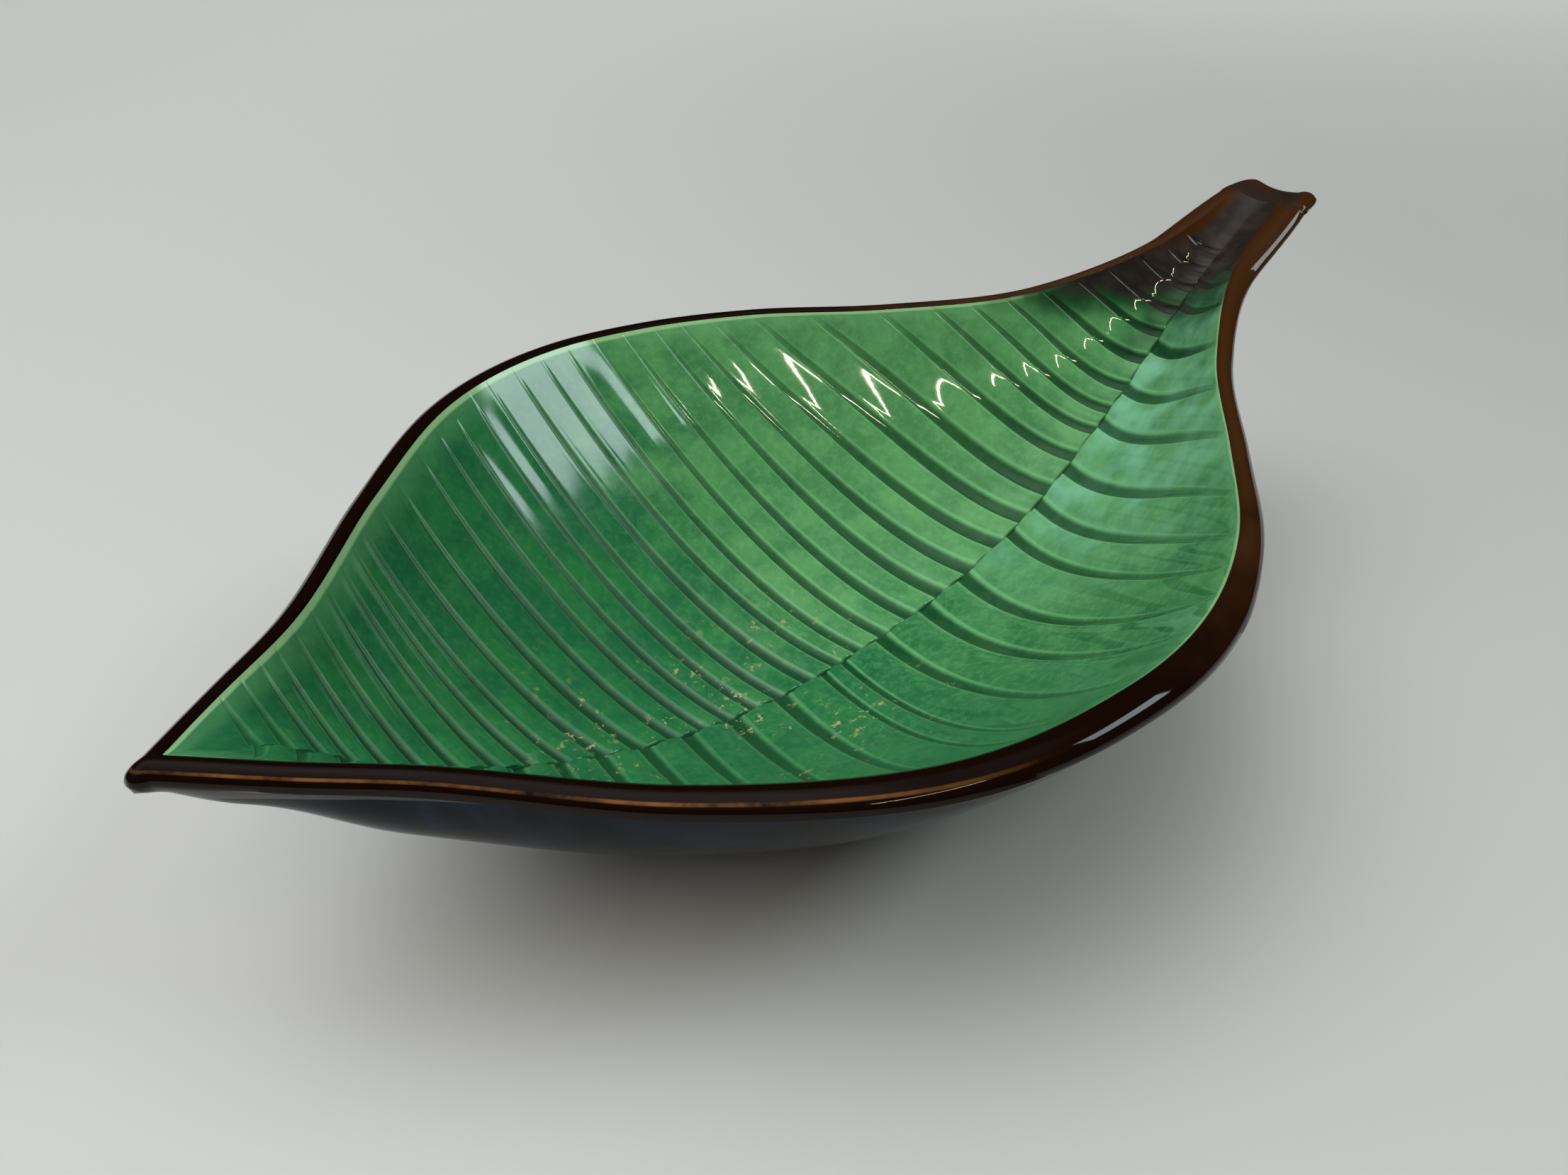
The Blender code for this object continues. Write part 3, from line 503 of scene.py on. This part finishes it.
def outside_rows(leaf):
    """The clay from the rim's inner edge over the rim, down the outside, round the foot and into its well.

    Returns the grid [row, column], its outward normals, the row numbers where the coats meet and its marks.
    The normal is the cross product of the steps along a row and down a column, and across the rim it is
    square to the rim's section. On the inner edge it turns from the inside's normal to the rim's, while the
    point stays.
    """
    s = leaf.s
    plan, outwards, share, rise = rim_loop(leaf)
    height = np.where(share >= 1.0, leaf.inside_height(share, plan[:, 1]), leaf.rim_height(share))
    out = np.linspace(0, 1, SECTION_STEPS + 1)[:, None]
    rim_plan = plan + outwards * out[..., None]
    rim_z = height + s.rim_rounding * smooth(RIM_SECTION_SHARES, out) + rise * out
    rim = np.concatenate([rim_plan, rim_z[..., None]], -1)
    edge = rim[-1]

    centre = np.array([leaf.x(FOOT_CENTRE_SHARE), 0])
    angle = np.arctan2(edge[:, 1] * s.foot_length / s.foot_width, edge[:, 0] - centre[0])
    oval = np.stack([np.cos(angle) * s.foot_length / 2, np.sin(angle) * s.foot_width / 2], -1)
    inner = oval * np.array([1 - 2 * s.foot_ring / s.foot_length, 1 - 2 * s.foot_ring / s.foot_width])
    foot, well = centre + oval, centre + inner
    reach = np.linalg.norm(edge[:, :2] - foot, axis=1)
    lift = edge[:, 2] - leaf.underside(edge[:, :2], edge)
    brown = s.brown_depth / reach
    falls = np.vstack([brown * t for t in np.linspace(0, 1, BROWN_STEPS + 1)[1:]]
                      + [brown + (1 - brown) * t for t in np.linspace(0, 1, FALL_STEPS + 1)[1:]])
    fall_plan = edge[:, :2] + (foot - edge[:, :2]) * falls[..., None]
    fade = np.clip(1 - falls * reach / s.rim_blend, 0, 1) ** 2
    fall = np.concatenate([fall_plan, (leaf.underside(fall_plan, edge) + lift * fade)[..., None]], -1)

    down = np.linspace(0, 1, FOOT_STEPS + 1)[1:, None]
    foot_top = fall[-1, :, 2]
    wall_out = np.concatenate([np.broadcast_to(foot, (FOOT_STEPS, *foot.shape)),
                               (foot_top + (s.bare_foot - foot_top) * down)[..., None]], -1)
    bevel = s.foot_bevel / (s.foot_width / 2)
    tread = np.stack(bevel_rows(foot, centre, bevel, s.foot_bevel)
                     + bevel_rows(well, centre, -bevel, s.foot_bevel)[::-1])
    well_top = leaf.underside(well, edge)
    up = np.linspace(0, 1, FOOT_STEPS + 1)[:, None]
    wall_in = np.concatenate([np.broadcast_to(well, (FOOT_STEPS + 1, *well.shape)),
                              (s.bare_foot + (well_top - s.bare_foot) * up)[..., None]], -1)
    spread = np.linspace(1, 0, WELL_STEPS + 1)[1:, None, None]
    well_plan = centre + inner * spread
    ceiling = np.concatenate([well_plan, leaf.underside(well_plan, edge)[..., None]], -1)

    rows = np.concatenate([rim, fall, wall_out, tread, wall_in, ceiling])
    rim_end = SECTION_STEPS
    brown_end = rim_end + BROWN_STEPS
    belly_end = brown_end + FALL_STEPS
    foot_end = belly_end + FOOT_STEPS
    tread_end = foot_end + len(tread)
    well_start = tread_end + 1
    rows = round_corner(rows, belly_end)
    rows = round_corner(rows, well_start + FOOT_STEPS)

    along = np.roll(rows, -1, axis=1) - np.roll(rows, 1, axis=1)
    normal = unit(np.cross(np.gradient(rows, axis=0), along))
    section = np.gradient(rows[:rim_end + 1], axis=0)
    outward = unit(outwards)
    run = np.sum(section[..., :2] * outward, axis=-1)
    turned = np.concatenate([-section[..., 2:] * outward, run[..., None]], -1)
    normal[:rim_end - TURNED_ROWS] = unit(turned)[:rim_end - TURNED_ROWS]
    normal[-1] = (0, 0, -1)
    wall = leaf.inside_normal(share, plan[:, 1])
    steps = np.linspace(0, 1, SHOULDER_STEPS + 1)[:-1, None, None]
    shoulder_normal = unit(wall * (1 - steps) + normal[0] * steps)
    shoulder = np.broadcast_to(rows[0], shoulder_normal.shape)
    rows = np.concatenate([shoulder, rows])
    ends = {"rim": SHOULDER_STEPS + brown_end, "outer": SHOULDER_STEPS + foot_end,
            "well": SHOULDER_STEPS + well_start}
    across = np.interp(np.arange(len(rows)) - SHOULDER_STEPS, (0, rim_end, brown_end), (0, 1, 2))
    side = np.where(plan[:, 1] > 0, 1.0, -1.0)
    marks = {"share": np.broadcast_to(share, rows.shape[:2]), "side": np.broadcast_to(side, rows.shape[:2]),
             "across": np.broadcast_to(across[:, None], rows.shape[:2])}
    return rows, np.concatenate([shoulder_normal, normal]), ends, marks


def grid_quads(rows, columns, wrap, first=0):
    """Quads of a grid of points numbered row by row, each between two rows and two columns."""
    numbers = first + np.arange(rows * columns).reshape(rows, columns)
    if wrap:
        numbers = np.hstack([numbers, numbers[:, :1]])
    corners = [numbers[:-1, :-1], numbers[1:, :-1], numbers[1:, 1:], numbers[:-1, 1:]]
    return np.stack(corners, -1).reshape(-1, 4)


def wall_quads(top, under):
    """Quads between two rows of point numbers that run side by side."""
    return np.stack([top[:-1], top[1:], under[1:], under[:-1]], -1)


def mesh_object(name, points, quads, marks):
    """A mesh from whole arrays of points and quads, with each mark as a point attribute and poles merged."""
    mesh = bpy.data.meshes.new(name)
    mesh.vertices.add(len(points))
    mesh.vertices.foreach_set("co", points.astype(np.float32).ravel())
    mesh.loops.add(quads.size)
    mesh.loops.foreach_set("vertex_index", quads.astype(np.int32).ravel())
    mesh.polygons.add(len(quads))
    mesh.polygons.foreach_set("loop_start", np.arange(0, quads.size, 4, dtype=np.int32))
    mesh.update(calc_edges=True)
    for mark, values in marks.items():
        mesh.attributes.new(mark, "FLOAT", "POINT").data.foreach_set("value", values.astype(np.float32))
    work = bmesh.new()
    work.from_mesh(mesh)
    bmesh.ops.remove_doubles(work, verts=work.verts, dist=MERGE)
    bmesh.ops.dissolve_degenerate(work, edges=work.edges, dist=MERGE)
    work.to_mesh(mesh)
    work.free()
    mesh.shade_smooth()
    mesh.set_sharp_from_angle(angle=SHARP_ANGLE)
    piece = bpy.data.objects.new(name, mesh)
    bpy.context.scene.collection.objects.link(piece)
    return piece


def coat_object(name, top, under, marks, wrap):
    """A closed shell from two grids of the same shape: the coat's face, its back and the walls between."""
    rows, columns = top.shape[:2]
    count = rows * columns
    points = np.vstack([top.reshape(-1, 3), under.reshape(-1, 3)])
    front = grid_quads(rows, columns, wrap)
    back = grid_quads(rows, columns, wrap, count)[:, ::-1]
    numbers = np.arange(count).reshape(rows, columns)
    first = np.r_[numbers[0], numbers[0, :1]] if wrap else numbers[0]
    last = np.r_[numbers[-1], numbers[-1, :1]] if wrap else numbers[-1]
    walls = [wall_quads(first, first + count), wall_quads(last[::-1], last[::-1] + count)]
    if not wrap:
        walls += [wall_quads(numbers[::-1, 0], numbers[::-1, 0] + count),
                  wall_quads(numbers[:, -1], numbers[:, -1] + count)]
    quads = np.vstack([front, back, *walls])
    values = {mark: np.tile(value.ravel(), 2) for mark, value in marks.items()}
    return mesh_object(name, points, quads, values)


def feed(tree, socket, value):
    """Gives an input its value: a number, a vector, a colour, a node's output or the name of a mark."""
    if isinstance(value, str):
        value = node(tree, "Attribute", attribute_name=value, output="Fac")
    if isinstance(value, bpy.types.NodeSocket):
        tree.links.new(value, socket)
    elif socket.type == "RGBA":
        socket.default_value = (*value, 1)
    else:
        socket.default_value = value


def node(tree, kind, *values, output=None, **named):
    """Adds a shader node and returns an output: the first in use, unless another is named.

    The values go to the inputs in use, in order. A named value goes to the input of that name or, where
    there is none, to the node's setting.
    """
    made = tree.nodes.new("ShaderNode" + kind)
    for name, value in named.items():
        if name in made.inputs:
            feed(tree, made.inputs[name], value)
        else:
            setattr(made, name, value)
    for socket, value in zip([each for each in made.inputs if each.enabled], values):
        feed(tree, socket, value)
    return made.outputs[output] if output else next(each for each in made.outputs if each.enabled)


def weighted(tree, total, *terms):
    """The total so far and, for each term, its value times its weight."""
    for value, weight in terms:
        total = node(tree, "Math", value, weight, total, operation="MULTIPLY_ADD")
    return total


def product(tree, *shares):
    """The product of shares, each a number, an output, the name of a mark or a ramp.

    A ramp is a value with its start and its end, and may name what it gives at each. It gives 0 at its start
    and 1 at its end otherwise, is smooth between and stays level beyond both.
    """
    total = None
    for share in shares:
        if isinstance(share, tuple):
            share = node(tree, "MapRange", *share, interpolation_type="SMOOTHSTEP")
        total = share if total is None else node(tree, "Math", total, share, operation="MULTIPLY")
    return total


def layer(tree, under, over, *shares):
    """One colour over another, by the product of the shares."""
    return node(tree, "Mix", product(tree, *shares), under, over, data_type="RGBA")


def clouds(tree, pattern, stretch=(1, 1, 1)):
    """A pattern's noise on Object coordinates, longer along an axis whose stretch is under 1."""
    width, detail, roughness = pattern
    place = node(tree, "Mapping", node(tree, "TexCoord", output="Object"), Scale=stretch)
    return node(tree, "TexNoise", place, 1 / (width * MM), detail, roughness)


def material(name):
    """A new material with its node tree and the inputs of its Principled BSDF."""
    made = bpy.data.materials.new(name)
    made.use_nodes = True
    return made, made.node_tree, made.node_tree.nodes["Principled BSDF"].inputs


def glaze_surface(tree, shader, colour, roughness, specular):
    """What all glazes share: glass over clay, with the slow waves and the orange peel of a fired coat."""
    waves = weighted(tree, clouds(tree, WAVES), (clouds(tree, ORANGE_PEEL), PEEL_SHARE))
    feed(tree, shader["Base Color"], colour)
    feed(tree, shader["Roughness"], roughness)
    feed(tree, shader["IOR"], GLAZE_IOR)
    feed(tree, shader["Specular IOR Level"], specular)
    bump = node(tree, "Bump", Height=waves, Strength=WAVE_STRENGTH, Distance=WAVE_HEIGHT)
    feed(tree, shader["Normal"], bump)


def brown_colour(tree, colours):
    """Iron brown glaze: nearly black where it is thick, redder towards the stem, amber on its outer edge.
    That amber line is partly the glaze breaking and partly a painted highlight along the rim's shoulder.

    It runs into the blue-black below it, and turns red nearer the stem on the back than on the front.
    """
    along = weighted(tree, "share", (clouds(tree, REDNESS), 0.25), ("side", -0.085))
    colour = layer(tree, colours.rim, colours.rim_thin, (along, 0.61, 0.93))
    # Amber line on the outer shoulder: partly glaze breaking, partly a painted highlight
    colour = layer(tree, colour, colours.rim_edge_and_highlight, ("across", 0.67, 0.72), ("across", 0.81, 0.76),
                   (clouds(tree, BREAKS), 0.30, 0.62), ("share", 0.38, 0.22), 0.68)
    colour = layer(tree, colour, colours.stem, ("share", 0.985, 0.999), ("across", 0.70, 0.30), 0.85)
    return layer(tree, colour, colours.outside, ("across", 1.1, 1.9))


def green_colour(tree, colours):
    """Copper green glaze: cloudy blue-green, dark where it pools, pale where it thins, with rust flecks.

    It stays deep further along the leaf on the front than on the back, which is partly painted shade. On the
    front half near the stem it carries a painted sheen: pale blue-green clouds that stand for reflected
    light.
    """
    # Deep green towards the tip and on the front half: partly the glaze's own tone, partly painted shade
    # where less light falls
    along = weighted(tree, "share", (clouds(tree, HUES), 0.35), ("side", 0.07))
    colour = layer(tree, colours.leaf_deep_and_shaded, colours.leaf, (along, 0.595, 0.855))
    colour = layer(tree, colour, colours.leaf_cool, (clouds(tree, COOL_CLOUDS), 0.60, 0.38),
                   ("share", 0.35, 0.60, 0.62, 0.35))
    # Painted sheen: reflected light painted as pale clouds on the front half near the stem
    colour = layer(tree, colour, colours.leaf_sheen, (clouds(tree, SHEEN_CLOUDS), 0.34, 0.74, 0.15, 1.15),
                   ("share", 0.58, 0.78), ("side", 1.0, -1.0), 0.72)
    colour = layer(tree, colour, colours.leaf_thin, (clouds(tree, MOTTLE), 0.42, 0.66),
                   ("share", 0.30, 0.58, 0.07, 0.20))
    colour = layer(tree, colour, colours.leaf_pool, ("pool", 0.05, 0.95), 0.85)
    colour = layer(tree, colour, colours.leaf_pool, "crease", 0.6)
    colour = layer(tree, colour, colours.leaf_thin, "thin", ("share", 0.30, 0.58, 0.14, 0.58))
    colour = layer(tree, colour, colours.fleck, leaf_flecks(tree))
    colour = layer(tree, colour, colours.leaf_thin, ("border", 5.5 * MM, 0.7 * MM), 0.26)
    return layer(tree, colour, colours.leaf_edge, ("border", 1.0 * MM, 0.6 * MM), 0.72)


def leaf_flecks(tree):
    """How much rust shows: specks in clusters, on the tip's side of the floor and near the midrib."""
    across = node(tree, "SeparateXYZ", node(tree, "TexCoord", output="Object"), output="Y")
    near_midrib = product(tree, (across, -44 * MM, -18 * MM), (across, 36 * MM, 10 * MM))
    along = product(tree, ("share", 0.18, 0.28), ("share", 0.56, 0.44))
    return product(tree, (clouds(tree, SPECKS), 0.585, 0.64), (clouds(tree, SPECK_CLUSTERS), 0.46, 0.57),
                   near_midrib, along, 0.75)


def leaf_material(colours):
    """Copper green stoneware glaze, dipped and fired to a clear gloss over the relief.

    A dark glaze takes over in the stem's trough, with a brown band along its rim. The end of the green is
    uneven, and lies nearer the tip beside the back rim, where the dark there is partly painted shade under
    the rim.
    Towards the tip the green is duller, most of all in the grooves and on the edges of the lands.
    """
    made, tree, shader = material("copper_green_glaze")
    # Painted shade: beside the back rim the dark green reaches further towards the tip
    back_rim_shade = product(tree, ("border", 12 * MM, 1 * MM), ("side", -1.0, 1.0))
    edge = weighted(tree, "share", (clouds(tree, TROUGH_END), 0.07), ("pool", 0.03), (back_rim_shade, 0.08))
    ripples = clouds(tree, RIPPLES, RIPPLE_STRETCH)
    trough = layer(tree, colours.stem, colours.stem_light, (ripples, 0.40, 0.68), 0.25)
    trough = layer(tree, trough, colours.rim_thin, ("border", 2.6 * MM, 1.4 * MM), ("share", 0.90, 0.95))
    dark = layer(tree, green_colour(tree, colours), colours.leaf_pool, (edge, 0.875, 0.935), 0.9)
    colour = layer(tree, dark, trough, (edge, 0.920, 0.965))
    sunk = node(tree, "Math", "pool", "thin", operation="MAXIMUM")
    duller = product(tree, ("share", 0.54, 0.40), (sunk, 0.0, 0.3, 0.065, 0.315))
    glaze_surface(tree, shader, colour, roughness=weighted(tree, 0.035, (duller, 1.0)), specular=0.50)
    return made


def rim_material(colours):
    """Iron brown stoneware glaze, brushed on the rim, almost black where it is thick."""
    made, tree, shader = material("iron_brown_glaze")
    glaze_surface(tree, shader, brown_colour(tree, colours), roughness=0.05, specular=0.24)
    return made


def outside_material(colours):
    """Blue-black stoneware glaze that ran down the outside in soft streaks."""
    made, tree, shader = material("blue_black_glaze")
    runs = clouds(tree, RUNS, RUN_STRETCH)
    colour = layer(tree, colours.outside, colours.outside_run, (runs, 0.38, 0.88))
    glaze_surface(tree, shader, colour, roughness=0.12, specular=0.02)
    return made


def clay_material(colours):
    """Bare fired stoneware, wiped clean at the foot: matt, with a fine grit."""
    made, tree, shader = material("bare_stoneware")
    grit = clouds(tree, GRIT)
    dark = tuple(GRIT_SHADE_SHARE * value for value in colours.clay)
    feed(tree, shader["Base Color"], layer(tree, colours.clay, dark, (grit, 0.45, 0.70)))
    feed(tree, shader["Roughness"], 0.85)
    bump = node(tree, "Bump", Height=grit, Strength=GRIT_STRENGTH, Distance=GRIT_HEIGHT)
    feed(tree, shader["Normal"], bump)
    return made


def lining_rows(leaf, inner):
    """The clay's inside, just below the deepest groove, in rows from the midrib to the rim's inner edge."""
    middle = np.clip(inner[:, 0], leaf.x(SPINE_SHARES[0]), leaf.x(SPINE_SHARES[1]))
    way = np.linspace(0, 1, LINING_STEPS + 1)[:-1, None]
    x = middle + (inner[:, 0] - middle) * way
    y = inner[:, 1] * way
    share = leaf.share(x)
    lining = np.stack([x, y, leaf.inside_height(share, y)], -1)
    return lining - leaf.inside_normal(share, y) * leaf.s.groove_depth


def dress(piece, made, slot, *nodes):
    """Gives a finished piece its material, the CAD nodes that it stands for and its body. The slot is not
    used.
    """
    piece.data.materials.append(made)
    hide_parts(*nodes)
    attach(piece, BODY)


def settings():
    """The leaf with its sizes, and the colours, as the scene's panel has them."""
    scene = bpy.context.scene
    return Leaf(scene.leaf_dish_sizes), scene.leaf_dish_colours


def direction(azimuth, elevation):
    """Unit vector towards an azimuth, from +Y towards +X, and an elevation, both in degrees."""
    azimuth, elevation = math.radians(azimuth), math.radians(elevation)
    return Vector((math.sin(azimuth) * math.cos(elevation), math.cos(azimuth) * math.cos(elevation),
                   math.sin(elevation)))


class LEAFDISH_OT_leaf_glaze(bpy.types.Operator):
    """The green glaze inside, one coat on each half of the leaf"""
    bl_idname = "leafdish.leaf_glaze"
    bl_label = "Leaf glaze"

    def execute(self, context):
        leaf, colours = settings()
        made = leaf_material(colours)
        halves = (("front_leaf_glaze", -1, FRONT_VEIN_SHARES, FRONT_GROOVE_SHARES, FRONT_LAND_SHARES),
                  ("back_leaf_glaze", 1, BACK_VEIN_SHARES, BACK_GROOVE_SHARES, BACK_LAND_SHARES))
        for name, side, *veins in halves:
            top, under, marks = leaf_half(leaf, side, *veins)
            # The back's lines are taken in the other order, so that its face points up too
            order = slice(None, None, -side)
            marks = {mark: value[order] for mark, value in marks.items()}
            half = coat_object(name, top[order], under[order], marks, False)
            dress(half, made, "green_glaze", "leaf_glaze")
        return {"FINISHED"}


class LEAFDISH_OT_outside(bpy.types.Operator):
    """The clay, and the coats of glaze on its rim, outside and well"""
    bl_idname = "leafdish.outside"
    bl_label = "Clay, rim and outside"

    def execute(self, context):
        leaf, colours = settings()
        rows, normals, ends, marks = outside_rows(leaf)
        blue_black = outside_material(colours)
        spans = (("rim_glaze_coat", 0, ends["rim"] + 1, rim_material(colours), "brown_glaze", "rim_glaze"),
                 ("outer_glaze_coat", ends["rim"], ends["outer"] + 1, blue_black, "blue_black_glaze",
                  "outer_glaze"),
                 ("well_glaze_coat", ends["well"], len(rows), blue_black, "well_glaze", "well_glaze"))
        for name, first, last, made, slot, stands_for in spans:
            face = rows[first:last] + normals[first:last] * leaf.coat
            back = rows[first:last] + normals[first:last] * leaf.s.gap
            values = {mark: value[first:last] for mark, value in marks.items()}
            dress(coat_object(name, face, back, values, True), made, slot, stands_for)
        clay = np.concatenate([lining_rows(leaf, rows[0]), rows[SHOULDER_STEPS:]])
        quads = grid_quads(*clay.shape[:2], True)
        dish = mesh_object("clay_dish", clay.reshape(-1, 3), quads, {})
        dress(dish, clay_material(colours), "bare_clay", "clay_body")
        return {"FINISHED"}


class LEAFDISH_OT_stage(bpy.types.Operator):
    """The pale floor, the soft lamps and the camera at the photograph's angle"""
    bl_idname = "leafdish.stage"
    bl_label = "Floor, lamps and camera"

    # The camera's azimuth from +Y towards +X and its elevation are in degrees, and it looks at LOOK_AT
    CAMERA_AZIMUTH = 219.816
    CAMERA_ELEVATION = 34.348
    CAMERA_DISTANCE = 0.3306
    LOOK_AT = Vector((0.01571, 0.04746, -0.00202))
    LENS_MM = 27.03
    SENSOR_MM = 36
    CLIP_START = 0.01
    FLOOR_SIZE = 12.0
    FLOOR_ROUGHNESS = 0.40
    RIGHTWARDS = (0.77, -0.64, 0)    # in the picture, along the floor
    AWAY = (0.64, 0.77, 0)
    RIGHT_SHADE_SHARE = 0.66               # of the table's colour, to the right: painted shade for the light falling off
    AWAY_LIGHT_SHARE = 1.15                # the same, at the back: painted light
    ROOM_RADIANCE = 0.04
    ROOM_TINT = (0.97, 1.0, 1.02)
    # The bright stretches of the room: (azimuth and elevation in degrees, radiance)
    GLOWS = ((-90, 60, 2.0), (-50, 62, 2.4), (0, 90, 1.5))
    GLOW_COSINES = (0.84, 0.97)      # of the angles from its middle where a glow starts, and is full
    GLOSSY_SHARE = 0.12              # of the room's radiance, what the glazes mirror
    # Name, place, direction of its long side, size, radiance, colour, and whether it lights and is mirrored
    LAMPS = (("tube_lamp", (-0.55, -1.277, 1.50), (1.30, 0.29, 0), (1.02, 0.006), 150, (1.0, 0.90, 0.62),
              (False, True)),
             ("tube_glow", (-0.52, -1.00, 1.50), (1.30, 0.29, 0), (1.30, 0.30), 5.5, (1.0, 0.90, 0.72),
              (True, False)),
             ("window_panel", (1.12, -1.01, 1.50), (0.87, 0.20, 0), (0.80, 0.50), 8.0, (0.80, 0.97, 1.0),
              (True, True)))

    def floor(self, colours):
        """The table, painted darker to the right of the picture and brighter towards the back: painted shade
        and painted light for the light falling off.
        """
        bpy.ops.mesh.primitive_plane_add(size=self.FLOOR_SIZE)
        plane = bpy.context.object
        plane.name = "table"
        made, tree, shader = material("pale_satin_table")
        place = node(tree, "TexCoord", output="Object")
        right = node(tree, "VectorMath", place, self.RIGHTWARDS, operation="DOT_PRODUCT")
        away = node(tree, "VectorMath", place, self.AWAY, operation="DOT_PRODUCT")
        # Painted shade to the right and painted light at the back, in the table's colour
        shade = tuple(self.RIGHT_SHADE_SHARE * value for value in colours.table)
        bright = tuple(min(1.0, self.AWAY_LIGHT_SHARE * value) for value in colours.table)
        colour = layer(tree, colours.table, shade, (right, -0.5, 0.4))
        colour = layer(tree, colour, bright, (away, 0.2, 1.6))
        feed(tree, shader["Base Color"], colour)
        feed(tree, shader["Roughness"], self.FLOOR_ROUGHNESS)
        plane.data.materials.append(made)

    def lamp(self, name, place, along, size, radiance, colour, rays):
        """An area lamp that faces the dish: its power is pi times its radiance times its area."""
        data = bpy.data.lights.new(name, "AREA")
        data.shape = "RECTANGLE"
        data.size, data.size_y = size
        data.energy = math.pi * radiance * size[0] * size[1]
        data.color = colour
        away = Vector(place).normalized()
        across = away.cross(Vector(along)).normalized()
        turn = Matrix((across.cross(away), across, away)).transposed().to_4x4()
        lamp = bpy.data.objects.new(name, data)
        lamp.visible_diffuse, lamp.visible_glossy = rays
        lamp.matrix_world = Matrix.Translation(place) @ turn
        bpy.context.scene.collection.objects.link(lamp)

    def room(self, colours):
        """A dim room, bright at one side of its ceiling and behind, with a plain pale backdrop."""
        world = bpy.data.worlds.new("room")
        world.use_nodes = True
        tree = world.node_tree
        towards = node(tree, "TexCoord", output="Generated")
        radiance = self.ROOM_RADIANCE
        for azimuth, elevation, glow in self.GLOWS:
            aim = direction(azimuth, elevation)
            nearness = node(tree, "VectorMath", towards, aim, operation="DOT_PRODUCT")
            radiance = weighted(tree, radiance, (product(tree, (nearness, *self.GLOW_COSINES)), glow))
        mirrored = node(tree, "LightPath", output="Is Glossy Ray")
        dimmed = product(tree, radiance, weighted(tree, 1.0, (mirrored, self.GLOSSY_SHARE - 1)))
        lit = node(tree, "VectorMath", self.ROOM_TINT, dimmed, operation="SCALE")
        seen = node(tree, "LightPath", output="Is Camera Ray")
        feed(tree, tree.nodes["Background"].inputs["Color"], layer(tree, lit, colours.table, seen))
        bpy.context.scene.world = world

    def camera(self):
        """The camera, back from the place it looks at along its direction."""
        data = bpy.data.cameras.new("camera")
        data.lens = self.LENS_MM
        data.sensor_width = self.SENSOR_MM
        data.clip_start = self.CLIP_START
        camera = bpy.data.objects.new("camera", data)
        back = direction(self.CAMERA_AZIMUTH, self.CAMERA_ELEVATION)
        camera.location = self.LOOK_AT + back * self.CAMERA_DISTANCE
        camera.rotation_euler = (-back).to_track_quat("-Z", "Y").to_euler()
        bpy.context.scene.collection.objects.link(camera)
        bpy.context.scene.camera = camera

    def execute(self, context):
        colours = context.scene.leaf_dish_colours
        context.scene.view_settings.view_transform = "Standard"
        self.room(colours)
        self.floor(colours)
        for each in self.LAMPS:
            self.lamp(*each)
        self.camera()
        return {"FINISHED"}


class LEAFDISH_PT_panel(bpy.types.Panel):
    """The dish's sizes, its colours and the steps that build it"""
    bl_idname = "LEAFDISH_PT_panel"
    bl_label = "Leaf Dish"
    bl_space_type = "VIEW_3D"
    bl_region_type = "UI"
    bl_category = "Leaf Dish"

    def draw(self, context):
        for operator in OPERATORS:
            self.layout.operator(operator.bl_idname)
        for group in (context.scene.leaf_dish_sizes, context.scene.leaf_dish_colours):
            box = self.layout.box()
            for name in group.bl_rna.properties.keys():
                if name not in ("rna_type", "name"):
                    box.prop(group, name)


OPERATORS = (LEAFDISH_OT_leaf_glaze, LEAFDISH_OT_outside, LEAFDISH_OT_stage)
CLASSES = (LeafDishSizes, LeafDishColours, *OPERATORS, LEAFDISH_PT_panel)


def register():
    """Registers the classes and gives each scene the dish's sizes and colours."""
    for each in CLASSES:
        bpy.utils.register_class(each)
    bpy.types.Scene.leaf_dish_sizes = bpy.props.PointerProperty(type=LeafDishSizes)
    bpy.types.Scene.leaf_dish_colours = bpy.props.PointerProperty(type=LeafDishColours)


def unregister():
    """Takes back what register did."""
    del bpy.types.Scene.leaf_dish_colours
    del bpy.types.Scene.leaf_dish_sizes
    for each in reversed(CLASSES):
        bpy.utils.unregister_class(each)


def main():
    """Builds the dish and its stage."""
    for each in list(bpy.data.objects):
        if each.type in {"CAMERA", "LIGHT"}:
            bpy.data.objects.remove(each)
    register()
    bpy.ops.leafdish.leaf_glaze()
    bpy.ops.leafdish.outside()
    bpy.ops.leafdish.stage()


if __name__ == "__main__":
    main()
